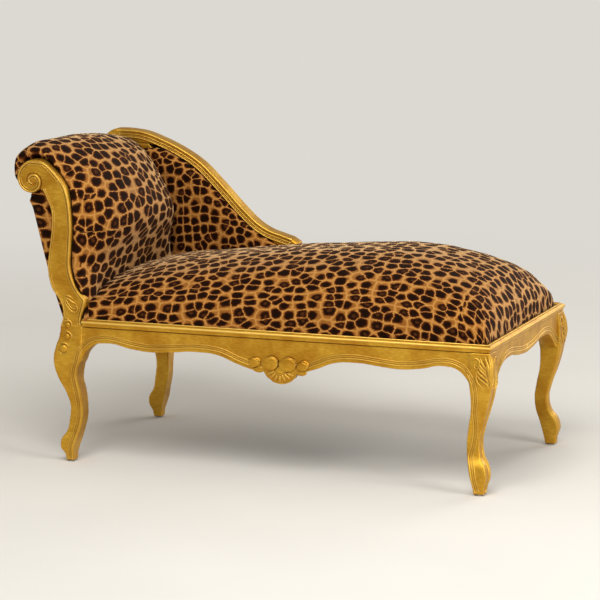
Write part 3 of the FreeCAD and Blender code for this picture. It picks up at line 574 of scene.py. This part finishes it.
foot_half = [(flower_x + 40, 299)] + long_wave(flower_x, 640)
head_half = [(flower_x - 40, 299)] + long_wave(flower_x, -480)
foot_line = smooth_line(metres(foot_leg_edge + foot_half[::-1], y=-side_plane))
head_line = smooth_line(metres(head_leg_edge + head_half[::-1], y=-side_plane))


def from_leg_to_rail(on_leg, on_rail):
    """A distance that grows from its value on the leg to its value on the rail."""
    def distance(share):
        t = max(0.0, min(1.0, (share - 0.22) / 0.14))
        return on_leg + (on_rail - on_leg) * t * t * (3 - 2 * t)
    return distance


# Way in from the edge on the leg, way in on the rail, radius
reed_rows = ((0.0050, 0.0110, 0.0023), (0.0112, 0.0165, 0.0013), (0.0170, 0.0220, 0.0018))
long_beads = []
for side in (-1, 1):
    for line, turn in ((foot_line, 1), (head_line, -1)):
        here = [Vector((p.x, side_plane * side, p.z)) for p in line]
        for on_leg, on_rail, radius in reed_rows:
            shifted_line = shifted(here, from_leg_to_rail(on_leg, on_rail), (0, -turn, 0))
            landed = press(shifted_line, (0, -side, 0))
            if len(landed) > 3:
                long_beads.append(bead(landed, radius))
# A finer line runs down the outer edge of each leg
foot_leg_outer = [(697, 262), (686, 225), (673, 184), (664, 140), (670, 104), (686, 76), (691, 50), (684, 21),
                  (683, 8)]
head_leg_outer = [(-546, 362), (-555, 331), (-563, 296), (-561, 268), (-552, 240), (-534, 200), (-525, 160),
                  (-528, 123), (-535, 88), (-550, 63), (-552, 44), (-541, 18), (-540, 8)]
for side in (-1, 1):
    for outer, turn in ((foot_leg_outer, 1), (head_leg_outer, -1)):
        drawn = smooth_line(metres(outer, y=side_plane * side))
        landed = press(shifted(drawn, 0.0065, (0, turn, 0)), (0, -side, 0))
        if len(landed) > 3:
            long_beads.append(bead(landed, 0.0012))
beads_long = join(long_beads, "beads_of_the_long_rails")
hand_over(beads_long, gold, "rail_front")

# %% [markdown]
# The two short rails have the same three beads, drawn in the plane across the chaise.

# %% Beads of the short rails
foot_end_edge = [(331, 8), (329, 21), (323, 50), (317, 76), (309, 104), (304, 140), (305, 184), (306, 225),
                 (305, 262)]
head_end_edge = [(305, 8), (304, 18), (299, 44), (296, 63), (293, 88), (291, 123), (293, 160), (299, 200),
                 (304, 240), (304, 262)]


def short_wave():
    half = 301
    return [(half, 288), (half - 27, 310), (half * 0.76, 337), (half * 0.54, 346), (half * 0.2, 333),
            (0, 329)]


short_beads = []
for x, edge, way in ((0.70, foot_end_edge, (-1, 0, 0)), (-0.54, head_end_edge, (1, 0, 0))):
    for side in (-1, 1):
        drawn = smooth_line([Vector((x, side * a / 1000, b / 1000)) for a, b in edge + short_wave()])
        for on_leg, on_rail, radius in reed_rows:
            shifted_line = shifted(drawn, from_leg_to_rail(on_leg, on_rail), (side, 0, 0))
            landed = press(shifted_line, way)
            if len(landed) > 3:
                short_beads.append(bead(landed, radius))
beads_short = join(short_beads, "beads_of_the_short_rails")
hand_over(beads_short, gold, "rail_foot")

# %% [markdown]
# The moulding round the seat has a round nose, a fillet on top beside the velvet and a small
# cove under the nose. A plane cut them in one pass, so they run round the corners. Three beads
# a few millimetres thick sharpen what the remesh made soft.

# %% Lines of the mouldings
def round_the_seat(inset, height, start, end):
    """From start on the front, round the foot end, to end on the back."""
    x, y, z = 0.700 - inset, 0.361 - inset, rail_top + height
    turn = 0.004
    walk = [(start, -y), (x - turn, -y), (x - 0.3 * turn, -y + 0.3 * turn), (x, -y + turn)]
    walk += [(x, y - turn), (x - 0.3 * turn, y - 0.3 * turn), (x - turn, y), (end, y)]
    return [Vector((a, b, z)) for a, b in walk]


moulding_beads = []
for inset, height, radius in ((0.0008, 0.0135, 0.0030), (0.0100, 0.0200, 0.0020), (0.0048, 0.0022, 0.0013)):
    moulding_beads.append(bead(round_the_seat(inset, height, -0.479, -0.087), radius, sides=3))
    panel = [Vector((x, 0.361 - inset, rail_top + height)) for x in (-0.479, -0.142)]
    moulding_beads.append(bead(panel, radius, sides=3))
beads_moulding = join(moulding_beads, "lines_of_the_mouldings")
hand_over(beads_moulding, gold, "moulding_front")

# %% [markdown]
# The front post is a flat face between two long curves, with a bright bead on its inner edge
# and fine reeds beside it. They rise from the seat and end in the volute.

# %% Reeds of the posts
post_inner = [(-480, 394), (-481, 408), (-475, 430), (-468, 460), (-476, 474), (-492, 493), (-506, 522),
              (-513, 556), (-511, 603), (-508, 654), (-510, 704), (-515, 741), (-525, 774), (-543, 800),
              (-564, 822), (-590, 841)]
post_outer = [(-544, 390), (-538, 403), (-535, 422), (-539, 445), (-553, 470), (-565, 485), (-576, 515),
              (-580, 549), (-575, 600), (-568, 651), (-566, 684), (-569, 711), (-580, 738), (-593, 764)]
volute = (-623, 788)


def volute_line(start, end, first_radius):
    """The spiral of the volute. Each half turn shrinks it to 0.586."""
    points = []
    steps = int((end - start) / 6)
    for i in range(steps + 1):
        angle = start + (end - start) * i / steps
        radius = first_radius * 0.586 ** ((angle - 90) / 180)
        points.append((volute[0] + radius * math.cos(math.radians(angle)),
                       volute[1] + radius * math.sin(math.radians(angle))))
    return points


post_beads = []
outer_line = smooth_line(metres(post_outer, y=-side_plane))
for distance, radius, end in ((0.0044, 0.0033, 640), (0.0106, 0.0017, 520)):
    drawn = smooth_line(metres(post_inner + volute_line(100, end, 58.0), y=-side_plane), 0.0025)
    landed = press(shifted(drawn, distance, (0, 1, 0)), (0, 1, 0))
    post_beads.append(bead(landed, radius))
for distance, radius in ((0.0040, 0.0020), (0.0085, 0.0012)):
    landed = press(shifted(outer_line, distance, (0, -1, 0)), (0, 1, 0))
    post_beads.append(bead(landed, radius))
beads_post = join(post_beads, "reeds_of_the_front_post")
hand_over(beads_post, gold, "scroll_post_front")

# %% [markdown]
# The crest rail sweeps down from its own scroll to the short stile. Seen from the front it is
# a broad reed with a groove under it and two fine beads along its inner edge.

# %% Reeds of the crest
run, drop, top = 0.450, 0.312, 0.854
shares = [(-0.24, 0.002), (-0.080, 0.014), (0.060, 0.076), (0.200, 0.165), (0.338, 0.287), (0.478, 0.477),
          (0.616, 0.681), (0.718, 0.814), (0.802, 0.884), (0.891, 0.925), (0.960, 0.955)]
crest_line = smooth_line([Vector((-0.540 + a * run, 0.3, top - b * drop)) for a, b in shares])
crest_beads = []
for side, way in ((-1, (0, 1, 0)), (1, (0, -1, 0))):
    for distance, radius in ((0.0046, 0.0042), (0.0132, 0.0019), (0.0178, 0.0012), (0.0222, 0.0026)):
        here = [Vector((p.x, 0.34 + 0.2 * side, p.z)) for p in crest_line]
        landed = press(shifted(here, distance, (0, -1, 0)), way)
        landed = [p for p in landed if p.y > 0.25]
        if len(landed) > 3:
            crest_beads.append(bead(landed, radius))
beads_crest = join(crest_beads, "reeds_of_the_crest_rail")
hand_over(beads_crest, gold, "crest_rail")

# %% [markdown]
# Carved leaves are bundles of fronds that swell in the middle and end in a point. One frond is
# a bead with tapered ends, pressed on to the knee of the leg. A fan of them makes the acanthus
# leaf on the corner of the foot legs.

# %% Acanthus on the knees
def frond(points, width, way, lift=0.0):
    landed = press(smooth_line(points, 0.003), way)
    if len(landed) < 4:
        return []
    return [bead([p - Vector(way) * lift for p in landed], width, taper=True, sides=3)]


leaf_fronds = [
    ([(684, 379), (689, 366), (693, 353), (697, 337), (699, 321), (700, 302)], 6.0),
    ([(694, 380), (697, 366), (699, 353), (700, 335), (701, 318), (701, 300)], 5.0),
    ([(671, 375), (676, 363), (683, 353), (690, 345), (697, 333)], 4.6),
    ([(667, 364), (672, 354), (680, 345), (689, 337), (697, 323)], 4.8),
    ([(666, 351), (674, 342), (683, 334), (691, 326), (698, 311)], 4.8),
    ([(664, 340), (672, 331), (682, 324), (691, 316), (698, 301)], 4.6),
    ([(663, 328), (672, 319), (682, 312), (691, 305), (697, 292)], 4.2),
    ([(661, 336), (661, 321), (665, 309), (673, 300), (684, 292)], 3.8),
    ([(646, 362), (651, 371), (660, 373), (668, 368), (670, 358), (665, 348), (657, 348), (655, 356),
      (660, 361)], 3.4),
]
knee_leaves = []
for side in (-1, 1):
    for points, width in leaf_fronds:
        line = [Vector((a / 1000, side_plane * side, b / 1000)) for a, b in points]
        knee_leaves += frond(line, width / 1000, (0, -side, 0))
        turned = [Vector((0.70, side * (0.361 - (0.700 - a / 1000)), b / 1000)) for a, b in points]
        knee_leaves += frond(turned, width / 1000, (-1, 0, 0))
leaves = join(knee_leaves, "acanthus_on_the_knees")
hand_over(leaves, gold, "leg_front_foot")

# %% [markdown]
# Where the post stands on the head leg, the carver cut a leaf that curls over, and three round
# seed pods below it, each under its own small leaf. The leaf is a bundle of fronds and a pod is
# a ball pressed flat.

# %% Leaf and pods on the head legs
def dome(x, z, half_x, half_z, height, side=-1):
    """A shallow boss on a side face, sunk to its middle. Sizes in millimetres."""
    landed = press([Vector((x / 1000, side_plane * side, z / 1000))], (0, -side, 0))
    bpy.ops.mesh.primitive_uv_sphere_add(segments=28, ring_count=14, radius=1.0, location=landed[0])
    boss = bpy.context.object
    boss.scale = (half_x / 1000, height / 1000, half_z / 1000)
    bpy.ops.object.transform_apply(location=True, rotation=False, scale=True)
    bpy.ops.object.shade_smooth()
    return boss


leaf_and_stems = [
    ([(-530, 466), (-527, 452), (-519, 440), (-509, 430), (-498, 428), (-491, 435), (-494, 444), (-502, 444)],
     3.4),
    ([(-526, 462), (-519, 451), (-513, 442), (-505, 437), (-499, 439)], 3.2),
    ([(-530, 468), (-518, 463), (-508, 457), (-497, 451), (-491, 446)], 3.2),
    ([(-533, 474), (-520, 473), (-510, 469), (-502, 463)], 2.8),
    ([(-526, 412), (-519, 405), (-512, 400), (-509, 392), (-513, 384)], 2.6),
    ([(-534, 402), (-524, 402), (-514, 401)], 2.2),
    ([(-532, 380), (-522, 374), (-513, 369), (-508, 361), (-512, 352)], 2.6),
    ([(-545, 340), (-534, 341), (-523, 339), (-515, 332)], 2.8),
    ([(-549, 330), (-546, 318), (-537, 310), (-526, 311), (-518, 320)], 2.2),
]
head_carving = []
for side in (-1, 1):
    for points, width in leaf_and_stems:
        line = [Vector((a / 1000, side_plane * side, b / 1000)) for a, b in points]
        head_carving += frond(line, width / 1000, (0, -side, 0))
    head_carving.append(dome(-521, 390, 8.5, 8.5, 5.0, side))
    head_carving.append(dome(-521, 359, 8.0, 8.0, 5.0, side))
    head_carving.append(dome(-533, 325, 12.5, 11.0, 5.5, side))
seeds = join(head_carving, "leaf_and_pods_on_the_head_legs")
hand_over(seeds, gold, "leg_front_head")

# %% [markdown]
# The flower hangs in the middle of the front rail: two cupped petals, a bud on the left, a leaf
# on either side, a drop between the petals and a ribbed shell below. Its solid is a set of
# bosses, each softened. The petals get a raised rim and the shell gets ribs that spread
# from the drop.

# %% The flower
carve_from("apron_flower", "carved_flower", 0.0012, 5)
trees.append(BVHTree.FromObject(wood["apron_flower"], bpy.context.evaluated_depsgraph_get()))


def on_arc(x, z, radius_x, radius_z, start, end):
    """Points on part of an oval, from one angle in degrees to another."""
    steps = 12
    angles = [math.radians(start + (end - start) * i / steps) for i in range(steps + 1)]
    return [Vector(((x + radius_x * math.cos(a)) / 1000, -side_plane,
                    (z + radius_z * math.sin(a)) / 1000)) for a in angles]


into_wood = (0, 1, 0)
flower = [dome(77, 322, 23, 18, 3.4), dome(127, 321, 24, 19, 3.4), dome(104, 304, 14, 11, 5.0)]
flower += [dome(28, 321, 14, 13, 3.6), dome(42, 303, 17, 9, 3.6), dome(169, 318, 16, 12, 3.0),
           dome(164, 302, 17, 10, 3.4)]
for x, z, half_x, half_z in ((77, 323, 22, 17), (127, 322, 23, 18)):
    flower += frond(on_arc(x, z, half_x, half_z, -20, 150), 0.0022, into_wood)
flower += frond(on_arc(28, 321, 13, 12, -40, 200), 0.0020, into_wood)
flower += frond(on_arc(104, 304, 14, 11, 180, 360), 0.0022, into_wood)
for angle in range(-156, -23, 22):
    a = math.radians(angle)
    rib = [Vector(((104 + r * math.cos(a)) / 1000, -side_plane,
                   (306 + 0.82 * r * math.sin(a)) / 1000)) for r in (15, 24, 33, 41, 47)]
    flower += frond(rib, 0.0040, into_wood, -0.0016)
flower += frond(on_arc(104, 310, 50, 42, 190, 350), 0.0026, into_wood)
petals = join(flower, "petals_and_ribs_of_the_flower")
hand_over(petals, gold, "apron_flower")

# %% [markdown]
# A cushion starts as the twin of its solid, a few millimetres slimmer. It is rebuilt in even
# squares and blown up by Blender's cloth, as the filling of a real one presses on its cover.
# The cloth would swell much further than a tacked cover can, so each point's move is capped,
# down to nothing where the cushion touches wood or another cushion. The cloth thus gives the
# direction and the cap the length. A last subdivision smooths it.

# %% Filling a cushion
def neighbours(*names):
    meshes = [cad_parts[name].data for name in names]
    return [BVHTree.FromPolygons([v.co for v in m.vertices],
                                 [f.vertices for f in m.polygons]) for m in meshes]


def freedom(point, near, full):
    """0 where the point touches a neighbour and 1 where it is full away from all of them."""
    nearest = full
    for tree in near:
        found = tree.find_nearest(point, full)
        if found[0] is not None:
            nearest = min(nearest, found[3])
    t = nearest / full
    return t * t * (3 - 2 * t)


cloth_pressure = 4.0
cloth_frames = 20
# The filling keeps the cover from sinking far at a corner, so this much of a move inwards is lost
sinking_lost = 0.85


def fill_cushion(node_name, piece_name, square, slim, rise, near_names, full):
    piece = twin(node_name, piece_name)
    shape_by(piece, "REMESH", mode="VOXEL", voxel_size=square)
    shape_by(piece, "SMOOTH", factor=0.5, iterations=6)
    near = neighbours(*near_names)
    normals = [v.normal.copy() for v in piece.data.vertices]
    free = [freedom(v.co, near, full) for v in piece.data.vertices]
    for v, normal, f in zip(piece.data.vertices, normals, free):
        v.co -= normal * (slim * f + 0.0008)
    start = [v.co.copy() for v in piece.data.vertices]
    pick(piece)
    cloth = piece.modifiers.new("cloth", "CLOTH")
    cloth.settings.use_pressure = True
    cloth.settings.uniform_pressure_force = cloth_pressure
    cloth.settings.effector_weights.gravity = 0.0
    cloth.settings.quality = 5
    scene = bpy.context.scene
    for moment in range(1, cloth_frames + 1):
        scene.frame_set(moment)
    bpy.ops.object.modifier_apply(modifier="cloth")
    scene.frame_set(1)
    for v, old, normal, f in zip(piece.data.vertices, start, normals, free):
        move = v.co - old
        move -= normal * min(0.0, move.dot(normal)) * sinking_lost
        limit = (rise + slim) * f
        if move.length > limit:
            move = move.normalized() * limit
        v.co = old + move
    shape_by(piece, "SMOOTH", factor=0.5, iterations=3)
    shape_by(piece, "SUBSURF", levels=1, render_levels=1)
    pick(piece)
    bpy.ops.object.shade_smooth()
    return piece


def lay_print(piece, place):
    """Gives each corner of each face its place on the printed cloth, in metres."""
    layer = piece.data.uv_layers.new(name="print")
    where = [place(v.co) for v in piece.data.vertices]
    for loop in piece.data.loops:
        layer.data[loop.index].uv = where[loop.vertex_index]

# %% [markdown]
# The seat is one long crown that falls to the rails. Its cloth was pulled over the crown and
# down the sides, so the print runs on over the edge: its place on the cloth is the way along
# the crown and the way down the side added together.

# %% The seat
crown = [(-466, 510), (-306, 547), (-121, 574), (39, 592), (199, 603), (329, 606), (430, 599), (520, 581),
         (590, 558), (637, 532), (666, 498), (682, 458)]
seat_half = 0.343


def crown_at(x):
    x = x * 1000
    for (x0, z0), (x1, z1) in zip(crown, crown[1:]):
        if x <= x1:
            return (z0 + (z1 - z0) * max(0.0, x - x0) / (x1 - x0)) / 1000
    return crown[-1][1] / 1000


def way_along_crown(x):
    x = x * 1000
    total = 0.0
    for (x0, z0), (x1, z1) in zip(crown, crown[1:]):
        length = math.hypot(x1 - x0, z1 - z0)
        if x <= x1:
            return (total + length * (x - x0) / (x1 - x0)) / 1000
        total += length
    return (total + x - crown[-1][0]) / 1000


def on_seat_cloth(p):
    fall = max(0.0, crown_at(p.x) - p.z)
    sideways = min(1.0, abs(p.y) / seat_half) ** 4
    return (way_along_crown(p.x) + (fall * (1 - sideways) if p.x > 0.6 else 0.0),
            p.y + math.copysign(fall * sideways, p.y))


seat = fill_cushion("seat_cushion", "seat_cushion_velvet", 0.0095, 0.005, 0.002,
                    ("moulding_front", "moulding_back", "moulding_back_panel", "moulding_foot",
                     "head_cushion", "half_back_cushion", "seat_hessian", "scroll_post_front"), 0.03)
# The front corner beside the post is pulled into the angle between post and moulding
for v in seat.data.vertices:
    tuck = ramp(-v.co.x, 0.425, 0.460) * ramp(-v.co.y, 0.285, 0.335) * (1 - ramp(v.co.z, 0.46, 0.51))
    v.co.x -= 0.011 * tuck
    v.co.y -= 0.004 * tuck
    # Beside the half back the crown has settled a little
    settled = ramp(v.co.y, -0.15, 0.15) * ramp(v.co.x, -0.40, -0.20) * (1 - ramp(v.co.x, 0.12, 0.40))
    v.co.z -= 0.008 * settled * ramp(v.co.z, 0.48, 0.54)
    # and at the foot end the side bulges over the moulding
    v.co.x += 0.004 * ramp(v.co.x, 0.650, 0.672) * ramp(v.co.z, 0.42, 0.45) * (1 - ramp(v.co.z, 0.49, 0.53))
lay_print(seat, on_seat_cloth)
hand_over(seat, velvet, "seat_cushion", "seat_cushion")

# %% [markdown]
# The head-rest is a pad that rises from the seat, rolls over the top rail and ends behind it.
# The print follows the roll: its place is the way along the outline seen from the side.

# %% The head-rest
head_outline = [(-466, 400), (-466, 552), (-418, 640), (-442, 754), (-508, 836), (-590, 884), (-658, 890),
                (-698, 853), (-706, 793), (-676, 744), (-640, 728), (-596, 528)]


def way_round_head(x, z):
    """The way along the outline to the nearest point of it, and how far off that is."""
    best = (1e9, 0.0)
    total = 0.0
    for (x0, z0), (x1, z1) in zip(head_outline, head_outline[1:]):
        dx, dz = x1 - x0, z1 - z0
        length = math.hypot(dx, dz)
        t = max(0.0, min(1.0, ((x - x0) * dx + (z - z0) * dz) / length ** 2))
        off = math.hypot(x - x0 - dx * t, z - z0 - dz * t)
        if off < best[0]:
            best = (off, total + length * t)
        total += length
    return best[1] / 1000, best[0] / 1000


def on_head_cloth(p):
    along, off = way_round_head(p.x * 1000, p.z * 1000)
    sideways = min(1.0, abs(p.y) / seat_half) ** 4
    return (0.72 * (p.y + math.copysign(off * sideways, p.y)) + 3.0, 1.1 * along)


def tuck_under_roll(piece):
    """Draws the cloth in below the roll, so that the roll overhangs the outside of the head."""
    for v in piece.data.vertices:
        pull = ramp(-v.co.x, 0.632, 0.654) * ramp(v.co.z, 0.724, 0.744) * (1 - ramp(v.co.z, 0.746, 0.800))
        v.co.x += 0.026 * pull


head = fill_cushion("head_cushion", "head_cushion_velvet", 0.0075, 0.003, 0.006,
                    ("scroll_post_front", "scroll_post_back", "crest_rail", "seat_cushion",
                     "half_back_cushion", "head_webbing", "head_outside_cover", "head_top_rail",
                     "moulding_front", "rail_head"), 0.03)
# Beside the front post the cover is pulled forward, almost level with the post's face, and its
# lower end is tucked into the corner between post and seat
for v in head.data.vertices:
    forward = ramp(-v.co.y, 0.290, 0.335) * (1 - ramp(v.co.z, 0.70, 0.80))
    tuck = ramp(-v.co.y, 0.240, 0.300) * ramp(v.co.x, -0.510, -0.485) * (1 - ramp(v.co.z, 0.50, 0.56))
    v.co.y -= 0.011 * forward + 0.014 * tuck
    v.co.x += 0.006 * tuck
tuck_under_roll(head)
# The ends of the roll are stuffed a little fuller
for v in head.data.vertices:
    outward = Vector((v.co.x + 0.615, 0, v.co.z - 0.80)).normalized()
    v.co += outward * 0.012 * ramp(-v.co.x, 0.535, 0.625) * ramp(-v.co.y, 0.12, 0.28) * ramp(v.co.z, 0.800,
                                                                                             0.850)
lay_print(head, on_head_cloth)
hand_over(head, velvet, "head_cushion", "head_cushion")

# %% [markdown]
# The half back is a thin pad under the crest rail. It is almost flat, so the print lies on it
# as on paper.

# %% The half back
half_back = fill_cushion("half_back_cushion", "half_back_cushion_velvet", 0.0065, 0.002, 0.005,
                         ("crest_rail", "scroll_post_back", "seat_cushion", "head_cushion",
                          "half_back_webbing", "moulding_back_panel"), 0.03)
lay_print(half_back, lambda p: (1.3 * p.x + 6.0, 1.3 * (p.z + p.y)))
hand_over(half_back, velvet, "half_back_cushion", "half_back_cushion")

# %% [markdown]
# Thin goods stay thin: the webbing, hessian, dust cover and the cover behind the half back are
# flat or lie on one curve, and the cover behind the head also turns in at its ends. Each is a
# twin whose edges get a small bevel. The two outside covers are cut from the same velvet.

# %% Covers, webbing and linings
def thin_goods(node_name, piece_name, material, bevel):
    piece = twin(node_name, piece_name)
    pick(piece)
    bpy.ops.object.mode_set(mode="EDIT")
    bpy.ops.mesh.select_all(action="SELECT")
    bpy.ops.mesh.dissolve_limited(angle_limit=math.radians(1))
    bpy.ops.object.mode_set(mode="OBJECT")
    shape_by(piece, "BEVEL", width=bevel, segments=2, limit_method="ANGLE", angle_limit=math.radians(50))
    shape_by(piece, "TRIANGULATE")
    pick(piece)
    bpy.ops.object.shade_smooth_by_angle(angle=math.radians(35))
    hand_over(piece, material, node_name, node_name)
    return piece


half_outside = thin_goods("half_back_outside_cover", "half_back_outside_velvet", velvet, 0.0008)
lay_print(half_outside, lambda p: (9.0 - p.x, p.z))
head_outside = thin_goods("head_outside_cover", "head_outside_velvet", velvet, 0.0006)
tuck_under_roll(head_outside)
lay_print(head_outside, lambda p: (12.0 + 1.2 * on_head_cloth(p)[0], 1.2 * p.z))
for node_name, piece_name in (
    ("seat_webbing_cross", "webbing_across_the_seat"),
    ("seat_webbing_long", "webbing_along_the_seat"),
    ("head_webbing", "webbing_of_the_head_rest"),
    ("half_back_webbing", "webbing_of_the_half_back"),
):
    thin_goods(node_name, piece_name, jute, 0.0004)
hessian = thin_goods("seat_hessian", "hessian_over_the_webbing", sacking, 0.0003)
dust = thin_goods("dust_cover", "black_dust_cover", lining, 0.0003)

# %% [markdown]
# No sheet sizes are worked out here. The cover behind the head bends two ways and would be cut
# about 0.38 m by 0.80 m.


# %% [markdown]
# The nodes that stay as they are get their finish: plain beech inside, nickel on the glides.

# %% Finishes of the plain parts
for name in ("head_top_rail", "head_lower_slat", "head_middle_slat", "half_back_slat",
             "seat_brace") + tuple("corner_block_" + c for c in corners):
    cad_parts[name].data.materials.clear()
    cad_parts[name].data.materials.append(beech)
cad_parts["foot_glides"].data.materials.clear()
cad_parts["foot_glides"].data.materials.append(nickel)

# %% [markdown]
# The room is a pale floor that runs far back, one broad soft lamp above the front, a weaker
# one from the foot end, a third behind the foot end that lights the back, and an even sky.

# %% Floor, light and camera
bpy.ops.mesh.primitive_plane_add(size=120.0, location=(0, 0, 0))
floor = bpy.context.object
floor.name = "studio_floor"
paint, tree = new_material("pale_studio_floor")
place = node(tree, "ShaderNodeTexCoord").outputs["Object"]
mottle = node(tree, "ShaderNodeTexNoise", {"Vector": place, "Scale": 0.8, "Detail": 4.0})
tone = node(tree, "ShaderNodeValToRGB", {"Fac": mottle.outputs["Fac"]})
set_stops(tone, [(0.3, "DEDAD2"), (0.7, "E6E2DA")])
matt = node(tree, "ShaderNodeBsdfPrincipled", {"Base Color": tone.outputs[0], "Roughness": 0.8,
                                               "Specular IOR Level": 0.1})
# Far from the chaise the camera sees an even pale tone instead of the dim end of the room
away = node(tree, "ShaderNodeVectorMath", {0: place}, operation="LENGTH")
fade = node(tree, "ShaderNodeMapRange", {"Value": away.outputs["Value"], "From Min": 1.0, "From Max": 4.5},
            interpolation_type="SMOOTHSTEP")
seen = node(tree, "ShaderNodeLightPath")
share = node(tree, "ShaderNodeMath", {0: fade.outputs[0], 1: seen.outputs["Is Camera Ray"]},
             operation="MULTIPLY")
even = node(tree, "ShaderNodeEmission", {"Color": colour("DCD9D2"), "Strength": 1.0})
surface(tree, node(tree, "ShaderNodeMixShader", {0: share.outputs[0], 1: matt.outputs[0],
                                                 2: even.outputs[0]}))
floor.data.materials.append(paint)


def soft_lamp(name, place, target, size, power):
    bpy.ops.object.light_add(type="AREA", location=place)
    lamp = bpy.context.object
    lamp.name = name
    lamp.data.shape = "SQUARE"
    lamp.data.size = size
    lamp.data.energy = power
    lamp.rotation_euler = (Vector(target) - Vector(place)).to_track_quat("-Z", "Y").to_euler()


soft_lamp("lamp_above_front", (0.6, -3.2, 4.2), (0, 0, 0.4), 2.6, 150.0)
soft_lamp("lamp_foot_end", (4.0, -1.5, 1.8), (0, 0, 0.4), 1.8, 80.0)
soft_lamp("lamp_behind", (2.2, 4.2, 2.2), (0, 0, 0.4), 2.6, 65.0)

world = bpy.data.worlds.new("even_sky")
bpy.context.scene.world = world
world.use_nodes = True
world.node_tree.nodes["Background"].inputs["Color"].default_value = colour("F2F0EC")
world.node_tree.nodes["Background"].inputs["Strength"].default_value = 0.55
bpy.context.scene.view_settings.view_transform = "Standard"

bpy.ops.object.camera_add(location=(3.3403, -9.0790, 2.1034),
                          rotation=(math.radians(90 - 9.7944), 0, math.radians(20.023)))
camera = bpy.context.object
camera.data.lens = 210
camera.data.sensor_width = 36
bpy.context.scene.camera = camera
